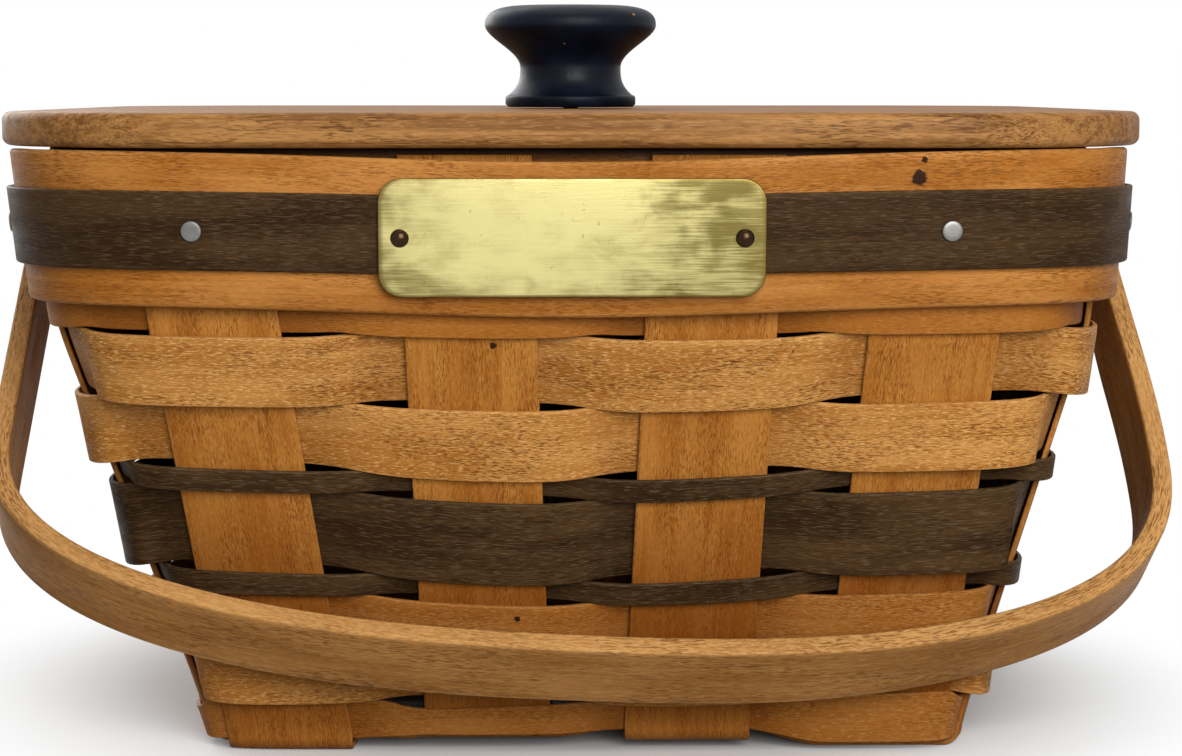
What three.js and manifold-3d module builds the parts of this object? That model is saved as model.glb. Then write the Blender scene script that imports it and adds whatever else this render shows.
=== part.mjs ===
// Berry basket: a square splint basket with a wooden lid and a swinging handle.
// Millimetres, +Z up, front towards -Y. The origin lies on the floor under the middle of the rim.
// Every splint is a solid of its own: eight uprights cross in the base and run up the walls, and each row
// of weaving is a closed hoop that passes in front of one upright and behind the next.

import * as THREE from "three";
import { mergeVertices } from "three/addons/utils/BufferGeometryUtils.js";
import Module from "manifold-3d";

const wasm = await Module();
wasm.setup();

// Wall, measured on the middle surface that the uprights follow
const baseHalf = 73.4;
const shoulderHalf = 100.4;
const rimHalf = 103.6;
const rimHeight = 118;
const shoulderDrop = 5.4;
const shoulderBlend = 2.6;
const baseRoundness = 0.035;
const rimRoundness = 0.15;
const lean = 3;
const leanBack = 2;

// Uprights
const uprightsPerSide = 4;
const uprightWidth = 24.4;
const uprightThickness = 1.1;
const uprightTrim = 1;
const baseCornerRoom = 3.6;
const rimCornerRoom = 21.8;
const middleDrift = 4;
const bendRadius = 3;
const footLift = 1.8;

// Weaving rows, from the floor up; natural rows fill the wall above the dark ones
const firstRowBottom = 4.6;
const footRowHeight = 5.8;
const lowRowHeight = 10.3;
const narrowRowHeight = 4.5;
const darkRowHeight = 16.3;
const wallRows = 4;
const topRowDrop = 7;
const weaverThickness = 1;
const cornerRise = 3;
const riseBias = 0.65;
const rowGap = 0.5;
const edgeFlare = 0.3;
const footRowDrop = 2.6;
const turnRoom = 0.6;

// Rim
const bandHeight = 28.6;
const bandThickness = 2.4;
const outerBandDrop = 0.5;
const outerBandDip = 1.5;
const bandCornering = 0.18;
const trimHeight = 14.4;
const trimDrop = 1.4;
const trimThickness = 1.2;

// Name plate
const plateWidth = 70;
const plateHeight = 21.6;
const plateThickness = 0.8;
const plateCorner = 4.4;
const pinInset = 3.9;
const pinHeadRadius = 1.7;
const pinHeadHeight = 1.2;
const pinShankRadius = 0.7;

// Nails through the rim
const nailHeadRadius = 1.9;
const nailHeadHeight = 0.5;
const nailShankRadius = 0.8;

// Handle
const handleWidth = 15.9;
const handleThickness = 4;
const handleOverreach = 17.4;
const handleFlare = 2.6;
const handleSkew = 2.6;
const handleTwist = 0.059;
const handleArm = 74;
const handleSquareness = 2.5;
const handleArris = 0.9;
const rivetRadius = 2;
const rivetHeadRadius = 5;
const rivetHeadHeight = 2;
const rivetTailRadius = 3.2;
const rivetTailHeight = 1;
const burrRadius = 4.5;
const burrThickness = 1;

// Lid
const lidOverhang = 0.4;
const lidThickness = 6.4;
const lidCorner = 40;
const lidArris = 1.4;
const battenWidth = 16;
const battenThickness = 8;
const battenPlay = 5;
const knobRadius = 18.4;
const knobNeckRadius = 10.8;
const knobFootRadius = 14;
const knobFootHeight = 2.6;
const knobNeckHeight = 8.6;
const knobCapHeight = 17.5;
const knobHeight = 21.7;
const knobTopRadius = 11.6;
const screwRadius = 1.6;
const screwHeadRadius = 3.5;
const screwHeadHeight = 2.2;
const screwBite = 12;

// Gaps between touching pieces
const clearance = 0.3;
const weaveGap = 0.4;
const bandGap = 0.6;

const { lerp, clamp, smoothstep } = THREE.MathUtils;
const HALF_TURN = Math.PI;
const QUARTER_TURN = Math.PI / 2;
const SIDES = ["front", "right", "back", "left"];

// Places that follow from the sizes above
const shoulderHeight = rimHeight - bandHeight - shoulderDrop;
const trimZ = rimHeight - bandHeight / 2 - trimDrop;
const weave = uprightThickness / 2 + weaveGap + weaverThickness / 2;
const weaveFace = weave + weaverThickness / 2;
const bandFace = weaveFace + bandGap + bandThickness;
const trimFace = bandFace + clearance + trimThickness;
const baseWeave = (uprightThickness + clearance) / 2;
const basePitch = pitchOf(baseHalf - baseCornerRoom);
const rimPitch = pitchOf(rimHalf - rimCornerRoom);
const wallSlope = (shoulderHalf - baseHalf) / shoulderHeight;
const rimSlope = (rimHalf - shoulderHalf) / (rimHeight - shoulderHeight);
const rimTilt = Math.atan(rimSlope);
const lidBottom = rimHeight + clearance;
const lidHalf = rimHalf + bandFace + lidOverhang;
const rimReach = Math.max(
  wallHalf(trimZ - trimHeight / 2) + trimFace,
  wallHalf(trimZ + trimHeight / 2) + trimFace,
  wallHalf(rimHeight - bandHeight) + bandFace,
  lidHalf,
);
const handleInner = rimReach - wallHalf(trimZ) + 2 * clearance;
const pivotX = wallHalf(trimZ) + handleInner + handleThickness / 2;
const handleReach = wallHalf(trimZ) + trimFace + handleOverreach;

// Materials
function wood(name, color) {
  return new THREE.MeshStandardMaterial({ name, color, roughness: 0.55, metalness: 0 });
}

function metal(name, color, roughness) {
  return new THREE.MeshStandardMaterial({ name, color, roughness, metalness: 1 });
}

const honeyMaple = wood("honey_maple", 0xb27a3f);
const walnutStain = wood("walnut_stain", 0x4a3527);
const lidMaple = wood("lid_maple", 0xa67a45);
const navyPaint = wood("navy_paint", 0x10182a);
const agedBrass = metal("aged_brass", 0xc2ad5c, 0.35);
const paleSteel = metal("pale_steel", 0xb4b2ac, 0.4);

// Centre spacing of the uprights on a side whose outermost edges lie this far from its middle
function pitchOf(edge) {
  return (2 * edge - uprightWidth) / (uprightsPerSide - 1);
}

// Half-width of the wall at a height: a straight flare up to the shoulder, then nearly upright to the rim
function wallHalf(z) {
  const rise = z - shoulderHeight;
  const straight = ((wallSlope + rimSlope) / 2) * rise;
  return shoulderHalf + straight + ((rimSlope - wallSlope) / 2) * Math.hypot(rise, shoulderBlend);
}

// Slope of the wall out of the upright at a height
function wallLean(z) {
  const rise = z - shoulderHeight;
  return (wallSlope + rimSlope) / 2 + (((rimSlope - wallSlope) / 2) * rise) / Math.hypot(rise, shoulderBlend);
}

// Power of the superellipse that the wall follows in plan: nearly square at the base, rounder at the rim
function wallPower(z) {
  return 1 / lerp(baseRoundness, rimRoundness, Math.sqrt(z / rimHeight));
}

// How far the hand-woven wall stands to the right and to the back of the rim at a height
function leanAt(z) {
  const share = 1 - z / trimZ;
  return new THREE.Vector3(lean * share, leanBack * share, 0);
}

// Point of the wall at a plan angle and a height, moved out level by a distance
function wallPoint(angle, z, out) {
  const power = wallPower(z);
  const [c, s] = [Math.cos(angle), Math.sin(angle)];
  const radius = wallHalf(z) / (Math.abs(c) ** power + Math.abs(s) ** power) ** (1 / power);
  const normal = wallNormal(angle, z);
  return new THREE.Vector3(radius * c, radius * s, z).add(leanAt(z)).addScaledVector(normal, out);
}

// Level outward direction of the wall at a plan angle and a height
function wallNormal(angle, z) {
  const slope = wallPower(z) - 1;
  const [c, s] = [Math.cos(angle), Math.sin(angle)];
  return new THREE.Vector3(
    Math.sign(c) * Math.abs(c) ** slope,
    Math.sign(s) * Math.abs(s) ** slope,
    0,
  ).normalize();
}

// Distance from the axis to the wall of a side, at a place along that side
function wallDepth(along, z) {
  const half = wallHalf(z);
  const power = wallPower(z);
  return half * (1 - Math.abs(along / half) ** power) ** (1 / power);
}

// Plan angle of a place along a side; sides count round from the front, and places run anticlockwise
function sideAngle(side, along, z) {
  return (side - 1) * QUARTER_TURN + Math.atan2(along, wallDepth(along, z));
}

// Point at a distance out from the axis and along a side, at a height
function sidePoint(side, out, along, z) {
  const facing = (side - 1) * QUARTER_TURN;
  const [c, s] = [Math.cos(facing), Math.sin(facing)];
  return new THREE.Vector3(out * c - along * s, out * s + along * c, z).add(leanAt(z));
}

function isOutermost(i) {
  return i === 0 || i === uprightsPerSide - 1;
}

// Where an upright's centre line stands along its side at a height
function uprightPlace(side, i, z) {
  const rise = z / rimHeight;
  const regular = (i - (uprightsPerSide - 1) / 2) * lerp(basePitch, rimPitch, rise);
  return regular + (side === 0 && !isOutermost(i) ? middleDrift * rise : 0);
}

// Share of a corner foot at a place along a side of the base: 1 under the outermost upright, 0 further in
function footShare(along) {
  const last = ((uprightsPerSide - 1) / 2) * basePitch;
  const footEdge = last - uprightWidth / 2 - turnRoom;
  const archEdge = last - basePitch + uprightWidth / 2 + turnRoom;
  return clamp((Math.abs(along) - archEdge) / (footEdge - archEdge), 0, 1);
}

// Height of the base's middle surface: it stands on its corners and arches up between them
function baseLevel(across, along) {
  return uprightThickness / 2 + baseWeave + footLift * (1 - footShare(across) * footShare(along));
}

// Skins a run of equal sections into one solid: a hoop joins its last section to its first, a bar is capped.
// A section lists one face from edge to edge and then the other face back again.
function skin(sections, hoop) {
  const size = sections[0].length;
  const triangles = [];
  const quad = (a, b, c, d) => triangles.push(a, b, c, a, c, d);
  for (let i = 0; i < sections.length - (hoop ? 0 : 1); i++) {
    const here = i * size;
    const next = ((i + 1) % sections.length) * size;
    for (let k = 0; k < size; k++) {
      const beside = (k + 1) % size;
      quad(here + k, next + k, next + beside, here + beside);
    }
  }
  if (!hoop) {
    const end = (sections.length - 1) * size;
    for (let k = 0; k < size / 2 - 1; k++) {
      const across = size - 1 - k;
      quad(k, k + 1, across - 1, across);
      quad(end + across, end + across - 1, end + k + 1, end + k);
    }
  }
  const points = sections.flat().flatMap((point) => point.toArray());
  const geometry = new THREE.BufferGeometry();
  geometry.setAttribute("position", new THREE.Float32BufferAttribute(points, 3));
  geometry.setIndex(triangles);
  return geometry;
}

// A closed geometry as a solid that can be joined and cut, turned the right way out
function solidOf(geometry) {
  const bare = geometry.clone();
  bare.deleteAttribute("normal");
  bare.deleteAttribute("uv");
  const merged = mergeVertices(bare, 1e-3);
  const vertProperties = merged.attributes.position.array;
  const triVerts = new Uint32Array(merged.index.array);
  const solid = new wasm.Manifold(new wasm.Mesh({ numProp: 3, vertProperties, triVerts }));
  if (solid.volume() > 0) return solid;
  return new wasm.Manifold(new wasm.Mesh({ numProp: 3, vertProperties, triVerts: triVerts.reverse() }));
}

function geometryOf(solid) {
  const { vertProperties, triVerts } = solid.getMesh();
  const geometry = new THREE.BufferGeometry();
  geometry.setAttribute("position", new THREE.BufferAttribute(vertProperties, 3));
  geometry.setIndex(new THREE.BufferAttribute(triVerts, 1));
  return geometry;
}

// A round tool for cutting a hole, from one point to another
function drill(from, to, radius, sides = 8) {
  const axis = to.clone().sub(from);
  const geometry = new THREE.CylinderGeometry(radius, radius, axis.length(), sides);
  const direction = axis.clone().normalize();
  const turn = new THREE.Quaternion().setFromUnitVectors(new THREE.Vector3(0, 1, 0), direction);
  geometry.applyQuaternion(turn).translate(...from.clone().add(to).divideScalar(2).toArray());
  return solidOf(geometry);
}

function cut(solid, tools) {
  return tools.reduce((left, tool) => left.subtract(tool), solid);
}

function addPiece(group, name, shape, material) {
  const solid = shape.isBufferGeometry ? solidOf(shape) : shape;
  const mesh = new THREE.Mesh(geometryOf(solid), material);
  mesh.name = name;
  group.add(mesh);
  return mesh;
}

// Round piece turned about Z, from [radius, height] points that start and end on the axis
function turned(profile, segments) {
  const points = profile.map(([radius, height]) => new THREE.Vector2(radius, height));
  return new THREE.LatheGeometry(points, segments).rotateX(QUARTER_TURN);
}

// Points of a domed head on its flat underside, from its rim to the axis
function dome(radius, height, base, steps) {
  return Array.from({ length: steps + 1 }, (_, k) => {
    const t = (k / steps) * QUARTER_TURN;
    return [k === steps ? 0 : radius * Math.cos(t), base + height * Math.sin(t)];
  });
}

// Uprights

// Offsets across an upright: the outermost ones bend round the corner, so they get a middle line too
function acrossUpright(i) {
  const half = uprightWidth / 2;
  return isOutermost(i) ? [-half, 0, half] : [-half, half];
}

// Sign of an upright where it crosses another in the base: +1 lies inside, above the other
function crossingSign(i, j) {
  return (i + j) % 2 ? -1 : 1;
}

// Section across a splint: one face from edge to edge, then the other face back again
function splintSection(offsets, point) {
  const outer = offsets.map((across) => point(across, 1));
  const inner = offsets.map((across) => point(across, -1));
  return [...outer, ...inner.reverse()];
}

// Sections of one end of an upright, from the rim down its wall and round the bend into the base
function wallSections(side, i, level, heights, flip) {
  const offsets = acrossUpright(i).map((across) => across * flip);
  const bendTop = level + bendRadius;
  const levels = [rimHeight - uprightTrim, ...heights.filter((z) => z > bendTop + bendRadius), bendTop];
  const onWall = levels.map((z) =>
    splintSection(offsets, (across, face) => {
      const angle = sideAngle(side, uprightPlace(side, i, z) + across, z);
      return wallPoint(angle, z, (face * uprightThickness) / 2);
    }),
  );
  const onBend = [1 / 3, 2 / 3, 1].map((share) => {
    const turn = share * QUARTER_TURN;
    return splintSection(offsets, (across, face) => {
      const radius = bendRadius + (face * uprightThickness) / 2;
      const along = uprightPlace(side, i, bendTop) + across;
      const out = wallDepth(along, bendTop) - bendRadius + radius * Math.cos(turn);
      return sidePoint(side, out, along, bendTop - radius * Math.sin(turn));
    });
  });
  return [...onWall, ...onBend];
}

// Sections of an upright across the base, over and under the uprights that it crosses
function baseSections(side, i) {
  const offsets = acrossUpright(i);
  const last = (uprightsPerSide - 1) / 2;
  const half = uprightWidth / 2 + turnRoom;
  const along = (i - last) * basePitch;
  const stations = [];
  for (let j = 0; j < uprightsPerSide; j++) {
    const out = (last - j) * basePitch;
    const wave = (side === 0 ? 1 : -1) * crossingSign(i, side === 0 ? j : uprightsPerSide - 1 - j);
    if (j > 0) stations.push([out + half, wave]);
    if (j < uprightsPerSide - 1) stations.push([out - half, wave], [out - basePitch / 2, 0]);
  }
  return stations.map(([out, wave]) => {
    const level = baseLevel(along, out) + wave * baseWeave;
    return splintSection(offsets, (across, face) =>
      sidePoint(side, out, along + across, level - (face * uprightThickness) / 2),
    );
  });
}

// One upright: down its near wall, across the base and up the far wall
function uprightSolid(side, i, heights) {
  const far = uprightsPerSide - 1 - i;
  const along = uprightPlace(side, i, 0);
  const reach = ((uprightsPerSide - 1) / 2) * basePitch;
  const sense = side === 0 ? 1 : -1;
  const nearSign = sense * (side === 0 ? crossingSign(i, 0) : crossingSign(i, uprightsPerSide - 1));
  const farSign = sense * (side === 0 ? crossingSign(i, uprightsPerSide - 1) : crossingSign(i, 0));
  const rest = baseLevel(along, reach);
  const near = wallSections(side, i, rest + nearSign * baseWeave, heights, 1);
  const beyond = wallSections(side + 2, far, rest + farSign * baseWeave, heights, -1);
  return solidOf(skin([...near, ...baseSections(side, i), ...beyond.reverse()], false));
}

// Weaving rows

// Heights and stains of the rows, from the floor up: the natural ones share the wall up to the rim
function rowPlan() {
  const low = [footRowHeight, lowRowHeight, lowRowHeight];
  const stained = [narrowRowHeight, darkRowHeight, narrowRowHeight];
  const wallBottom = [...low, ...stained].reduce((sum, height) => sum + height, firstRowBottom);
  const wallRowHeight = (rimHeight - topRowDrop - wallBottom) / wallRows;
  const heights = [...low, ...stained, ...Array(wallRows).fill(wallRowHeight)];
  let bottom = firstRowBottom;
  return heights.map((height, n) => {
    const dark = n >= low.length && n < low.length + stained.length;
    const row = { bottom, top: bottom + height, dark, foot: n === 0, phase: n % 2 ? 1 : -1 };
    bottom = row.top;
    return row;
  });
}

// Stations round a row at one height: plan angle, place along the side, and wave, which runs from +1 in
// front of an upright to -1 behind it
function rowStations(row, z) {
  const half = uprightWidth / 2 + turnRoom;
  const uprights = SIDES.flatMap((_, side) =>
    Array.from({ length: uprightsPerSide }, (_, i) => ({ side, i, along: uprightPlace(side, i, z) })),
  );
  return uprights.flatMap(({ side, i, along }, n) => {
    const wave = n % 2 ? -row.phase : row.phase;
    const offsets = isOutermost(i) ? [-half, 0, half] : [-half, half];
    const crossing = offsets.map((across) => {
      return { along: along + across, angle: sideAngle(side, along + across, z), wave };
    });
    const atCorner = i === uprightsPerSide - 1;
    const next = uprights[(n + 1) % uprights.length];
    const from = sideAngle(side, along + half, z);
    const to = sideAngle(side + (atCorner ? 1 : 0), next.along - half, z);
    const shares = atCorner ? [1 / 4, 1 / 2, 3 / 4] : [1 / 2];
    const passing = shares.map((share) => {
      const turn = wave * Math.cos(share * HALF_TURN);
      return { along: along + half, angle: lerp(from, to, share), wave: turn };
    });
    return [...crossing, ...passing];
  });
}

// How far a row's edge rides up towards the corners, most of all below half way up the wall
function rowRise(angle, z) {
  const height = (z / rimHeight) ** riseBias;
  return cornerRise * (Math.sin(height * HALF_TURN) * Math.sin(2 * angle)) ** 2;
}

// A row is a hoop of splint whose edges spread a little where it crosses an upright. It moves square to
// the leaning wall, so it sinks in front of an upright and rises behind one.
function rowSolid(row) {
  const face = weaverThickness / 2;
  const slope = wallLean((row.bottom + row.top) / 2);
  const upper = rowStations(row, row.top);
  const sections = rowStations(row, row.bottom).map(({ along, angle, wave }, n) => {
    const spread = edgeFlare * wave * wave - rowGap / 2;
    const arch = footLift * (1 - footShare(along));
    const footEdge = arch - footRowDrop * Math.max(wave, 0);
    const out = wave * weave;
    const sink = (out * slope) / (1 + slope * slope);
    const low = row.bottom + rowRise(angle, row.bottom) + (row.foot ? footEdge : -spread) - sink;
    const high = row.top + rowRise(upper[n].angle, row.top) + spread - sink;
    return [
      wallPoint(angle, low, out + face),
      wallPoint(upper[n].angle, high, out + face),
      wallPoint(upper[n].angle, high, out - face),
      wallPoint(angle, low, out - face),
    ];
  });
  return solidOf(skin(sections, true));
}

// Rim bands

// A band round the rim between two heights, with its outer face at a distance from the wall's middle.
// It dips between the corners, and its facets are shortest where it rounds them.
function bandSolid(low, high, outer, thickness, dip) {
  const steps = 16;
  const angles = SIDES.flatMap((_, side) =>
    Array.from({ length: steps }, (_, n) => {
      const share = (2 * n) / steps - 1;
      const bunched = share + bandCornering * Math.sin(share * HALF_TURN);
      return side * QUARTER_TURN + (QUARTER_TURN / 2) * bunched;
    }),
  );
  const sections = angles.map((angle) => {
    const drop = dip * Math.cos(2 * angle) ** 2;
    const inner = outer - thickness;
    return [
      wallPoint(angle, low - drop, outer),
      wallPoint(angle, high - drop, outer),
      wallPoint(angle, high - drop, inner),
      wallPoint(angle, low - drop, inner),
    ];
  });
  return solidOf(skin(sections, true));
}

// Two nails a side, through the outermost uprights
function nailPlaces() {
  return SIDES.flatMap((name, side) =>
    [0, uprightsPerSide - 1].map((i) => {
      const angle = sideAngle(side, uprightPlace(side, i, trimZ), trimZ);
      return { name: `rim_nail_${name}_${i ? "right" : "left"}`, side, i, angle };
    }),
  );
}

// Direction out of the rim at a plan angle, tipped down from level
function rimOut(angle, tilt) {
  return wallNormal(angle, trimZ).multiplyScalar(Math.cos(tilt)).setZ(-Math.sin(tilt));
}

// Point at a distance from the wall's middle, on a line in that direction through the face of the trim
function rimPoint(angle, tilt, out) {
  const face = wallPoint(angle, trimZ, trimFace);
  return face.addScaledVector(rimOut(angle, tilt), (out - trimFace) * Math.cos(tilt));
}

// Turns a piece made about Z so that it points out of the rim
function faceOut(mesh, angle, tilt, out) {
  mesh.position.copy(rimPoint(angle, tilt, out));
  mesh.quaternion.setFromUnitVectors(new THREE.Vector3(0, 0, 1), rimOut(angle, tilt));
}

// A hole through everything in the rim
function holeThrough(angle, tilt, radius, sides) {
  return drill(rimPoint(angle, tilt, -2 * bandFace), rimPoint(angle, tilt, 2 * trimFace), radius, sides);
}

// Handle

// Smallest gap between the lower inside edge of the handle and the wall's weaving, at an angle below level
function handleGap(line, droop) {
  const gaps = line.map((p, n) => {
    const angle = droop + handleTurn(p.x);
    const [c, s] = [Math.cos(angle), Math.sin(angle)];
    const inside = p.clone().addScaledVector(outOfHoop(line, n), -handleThickness / 2);
    const y = (handleWidth / 2) * s - inside.z * c;
    const z = trimZ - (handleWidth / 2) * c - inside.z * s;
    const power = wallPower(z);
    const place = new THREE.Vector3(inside.x, y, z).sub(leanAt(z));
    const reach = (Math.abs(place.x) ** power + Math.abs(place.y) ** power) ** (1 / power);
    return reach - wallHalf(z) - weaveFace;
  });
  return Math.min(...gaps);
}

// The handle hangs until it all but touches the weaving
function handleDroop() {
  const line = handleLine();
  let [free, stopped] = [0, QUARTER_TURN];
  for (let n = 0; n < 40; n++) {
    const middle = (free + stopped) / 2;
    if (handleGap(line, middle) > clearance) free = middle;
    else stopped = middle;
  }
  return free;
}

// Centre line of the handle, standing up in its own X-Z plane with the pivots on Z = 0
function handleLine() {
  const half = pivotX + handleFlare;
  const bow = handleReach - handleThickness / 2 - handleArm;
  const armSteps = 6;
  const bowSteps = 12;
  const arm = Array.from({ length: armSteps }, (_, n) => {
    const t = n / armSteps;
    return new THREE.Vector3(lerp(pivotX, half, smoothstep(t, 0, 1)), 0, handleArm * t);
  });
  const quarter = Array.from({ length: bowSteps + 1 }, (_, n) => {
    const angle = (n / bowSteps) * QUARTER_TURN;
    const [c, s] = [n === bowSteps ? 0 : Math.cos(angle), Math.sin(angle)];
    const radius = (c ** handleSquareness + s ** handleSquareness) ** (-1 / handleSquareness);
    return new THREE.Vector3(half * radius * c, 0, handleArm + bow * radius * s);
  });
  const right = [...arm, ...quarter];
  const left = right.slice(0, -1).map((p) => new THREE.Vector3(-p.x, 0, p.z));
  const skewed = (p) => p.setX(p.x + handleSkew * smoothstep(p.z, 0, handleArm));
  return [...right, ...left.reverse()].map(skewed);
}

// How far the hand-bent hoop is turned about its pivots at a place across it: one arm hangs lower
function handleTurn(x) {
  return handleTwist * THREE.MathUtils.clamp(x / pivotX, -1, 1);
}

// Direction out of the hoop at a point of its centre line
function outOfHoop(line, n) {
  const atEnd = n === 0 || n === line.length - 1;
  if (atEnd) return new THREE.Vector3(n ? -1 : 1, 0, 0);
  const along = line[n + 1].clone().sub(line[n - 1]).normalize();
  return new THREE.Vector3(along.z, 0, -along.x);
}

function handleSolid() {
  const line = handleLine();
  const [t, w, a] = [handleThickness / 2, handleWidth / 2, handleArris];
  const outline = [
    [-t + a, -w],
    [t - a, -w],
    [t, -w + a],
    [t, w - a],
    [t - a, w],
    [-t + a, w],
    [-t, w - a],
    [-t, -w + a],
  ];
  const pivotAxis = new THREE.Vector3(1, 0, 0);
  const sections = line.map((p, n) => {
    const place = ([o, y]) => p.clone().addScaledVector(outOfHoop(line, n), o).setY(y);
    return outline.map((corner) => place(corner).applyAxisAngle(pivotAxis, handleTurn(p.x)));
  });
  const end = (side) => {
    const from = new THREE.Vector3(side * (pivotX - t), 0, 0);
    return drill(from, from.clone().setX(side * (pivotX + t)), w, 16);
  };
  const bore = (side) => {
    const from = new THREE.Vector3(side * (pivotX - handleWidth), 0, 0);
    return drill(from, from.clone().setX(side * (pivotX + handleWidth)), rivetRadius + clearance);
  };
  const bar = solidOf(skin(sections, false));
  return cut(bar.add(end(1)).add(end(-1)), [bore(1), bore(-1)]);
}

// Lid

function roundedSquare(half, corner) {
  const shape = new THREE.Shape();
  const flat = half - corner;
  shape.moveTo(-flat, -half);
  shape.absarc(flat, -flat, corner, -QUARTER_TURN, 0);
  shape.absarc(flat, flat, corner, 0, QUARTER_TURN);
  shape.absarc(-flat, flat, corner, QUARTER_TURN, HALF_TURN);
  shape.absarc(-flat, -flat, corner, HALF_TURN, 3 * QUARTER_TURN);
  return shape;
}

function lidSolid() {
  const board = new THREE.ExtrudeGeometry(roundedSquare(lidHalf - lidArris, lidCorner - lidArris), {
    depth: lidThickness - 2 * lidArris,
    bevelThickness: lidArris,
    bevelSize: lidArris,
    bevelSegments: 2,
    curveSegments: 6,
  });
  const bore = drill(
    new THREE.Vector3(0, 0, -lidThickness),
    new THREE.Vector3(0, 0, 2 * lidThickness),
    screwRadius + clearance,
  );
  return cut(solidOf(board.translate(0, 0, lidArris)), [bore]);
}

// A batten under the lid, as long as the inner band leaves room for; it runs across the lid's grain
function battenGeometry() {
  const inside = wallHalf(rimHeight) - bandFace;
  const edge = inside - battenPlay;
  const power = wallPower(rimHeight);
  const half = inside * (1 - (edge / inside) ** power) ** (1 / power) - battenPlay;
  const shape = new THREE.Shape();
  const slope = battenThickness / 2;
  shape.moveTo(-half, 0);
  shape.lineTo(-half + slope, -battenThickness);
  shape.lineTo(half - slope, -battenThickness);
  shape.lineTo(half, 0);
  const geometry = new THREE.ExtrudeGeometry(shape, { depth: battenWidth, bevelEnabled: false });
  geometry.rotateX(QUARTER_TURN).rotateZ(QUARTER_TURN);
  return { geometry, place: edge - battenWidth };
}

// Turned knob: a foot, a hollow neck and a wide flat cap, bored from below for its screw
function knobGeometry() {
  const bore = screwRadius + clearance;
  const neckSweep = [0.25, 0.5, 0.75, 1].map((t) => {
    const turn = t * QUARTER_TURN;
    return [
      lerp(knobFootRadius, knobNeckRadius, Math.sin(turn)),
      lerp(knobFootHeight, knobNeckHeight, 1 - Math.cos(turn)),
    ];
  });
  const capSweep = [0.25, 0.5, 0.75, 1].map((t) => [
    lerp(knobNeckRadius, knobRadius, smoothstep(t, 0, 1)),
    lerp(knobNeckHeight, knobCapHeight, t),
  ]);
  const top = [1, 2, 3].map((step) => {
    const turn = (step / 3) * QUARTER_TURN;
    return [
      lerp(knobTopRadius, knobRadius, Math.cos(turn)),
      lerp(knobCapHeight, knobHeight, Math.sin(turn)),
    ];
  });
  return turned(
    [
      [0, screwBite + clearance],
      [bore, screwBite + clearance],
      [bore, 0],
      [knobFootRadius, 0],
      [knobFootRadius, knobFootHeight],
      ...neckSweep,
      ...capSweep,
      ...top,
      [0, knobHeight],
    ],
    20,
  );
}

// Assembly

const part = new THREE.Group();
const basket = new THREE.Group();
const handle = new THREE.Group();
const lid = new THREE.Group();
part.add(basket, handle, lid);

const rows = rowPlan();
const rowEdges = [...new Set(rows.flatMap((row) => [row.top, row.bottom]))].sort((a, b) => b - a);

const nails = nailPlaces();
const nailHole = ({ angle }) => holeThrough(angle, rimTilt, nailShankRadius + clearance, 6);
const nailHoles = nails.map(nailHole);
const rivetSides = [
  { name: "right", side: 1 },
  { name: "left", side: 3 },
];
const rivetHoles = rivetSides.map(({ side }) =>
  holeThrough(sideAngle(side, 0, trimZ), 0, rivetRadius + clearance, 8),
);

[0, 1].forEach((side) => {
  for (let i = 0; i < uprightsPerSide; i++) {
    const holes = nails.filter((nail) => {
      const own = nail.side === side && nail.i === i;
      const across = nail.side === side + 2 && nail.i === uprightsPerSide - 1 - i;
      return own || across;
    });
    const name = side === 0 ? `upright_front_to_back_${i + 1}` : `upright_side_to_side_${i + 1}`;
    addPiece(basket, name, cut(uprightSolid(side, i, rowEdges), holes.map(nailHole)), honeyMaple);
  }
});

rows.forEach((row, n) => {
  const crossed = row.bottom < trimZ && trimZ < row.top;
  const solid = crossed ? cut(rowSolid(row), [...nailHoles, ...rivetHoles]) : rowSolid(row);
  const name = `weaver_row_${String(n + 1).padStart(2, "0")}`;
  addPiece(basket, name, solid, row.dark ? walnutStain : honeyMaple);
});

const outerTop = rimHeight - outerBandDrop;
const innerBand = bandSolid(rimHeight - bandHeight, rimHeight, bandThickness - bandFace, bandThickness, 0);
const outerBand = bandSolid(outerTop - bandHeight, outerTop, bandFace, bandThickness, outerBandDip);
const trim = bandSolid(trimZ - trimHeight / 2, trimZ + trimHeight / 2, trimFace, trimThickness, 0);

// Name plate and its pins, on the front of the trim strip
const frontAngle = sideAngle(0, 0, trimZ);
const plateFace = trimFace + clearance + plateThickness;
const pinAlong = plateWidth / 2 - pinInset;
const pinHoles = [-1, 1].map((sign) => {
  const across = new THREE.Vector3(sign * pinAlong, 0, 0);
  const [from, to] = [weaveFace, 2 * plateFace].map((out) => rimPoint(frontAngle, rimTilt, out).add(across));
  return drill(from, to, pinShankRadius + clearance / 2);
});

const plateShape = new THREE.Shape();
const [plateX, plateY] = [plateWidth / 2 - plateCorner, plateHeight / 2 - plateCorner];
plateShape.absarc(plateX, -plateY, plateCorner, -QUARTER_TURN, 0);
plateShape.absarc(plateX, plateY, plateCorner, 0, QUARTER_TURN);
plateShape.absarc(-plateX, plateY, plateCorner, QUARTER_TURN, HALF_TURN);
plateShape.absarc(-plateX, -plateY, plateCorner, HALF_TURN, 3 * QUARTER_TURN);
[-1, 1].forEach((sign) => {
  const hole = new THREE.Path();
  hole.absarc(sign * pinAlong, 0, pinShankRadius + clearance / 2, 0, 2 * HALF_TURN);
  plateShape.holes.push(hole);
});
const plateBlank = new THREE.ExtrudeGeometry(plateShape, {
  depth: plateThickness,
  bevelEnabled: false,
  curveSegments: 5,
});

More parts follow.
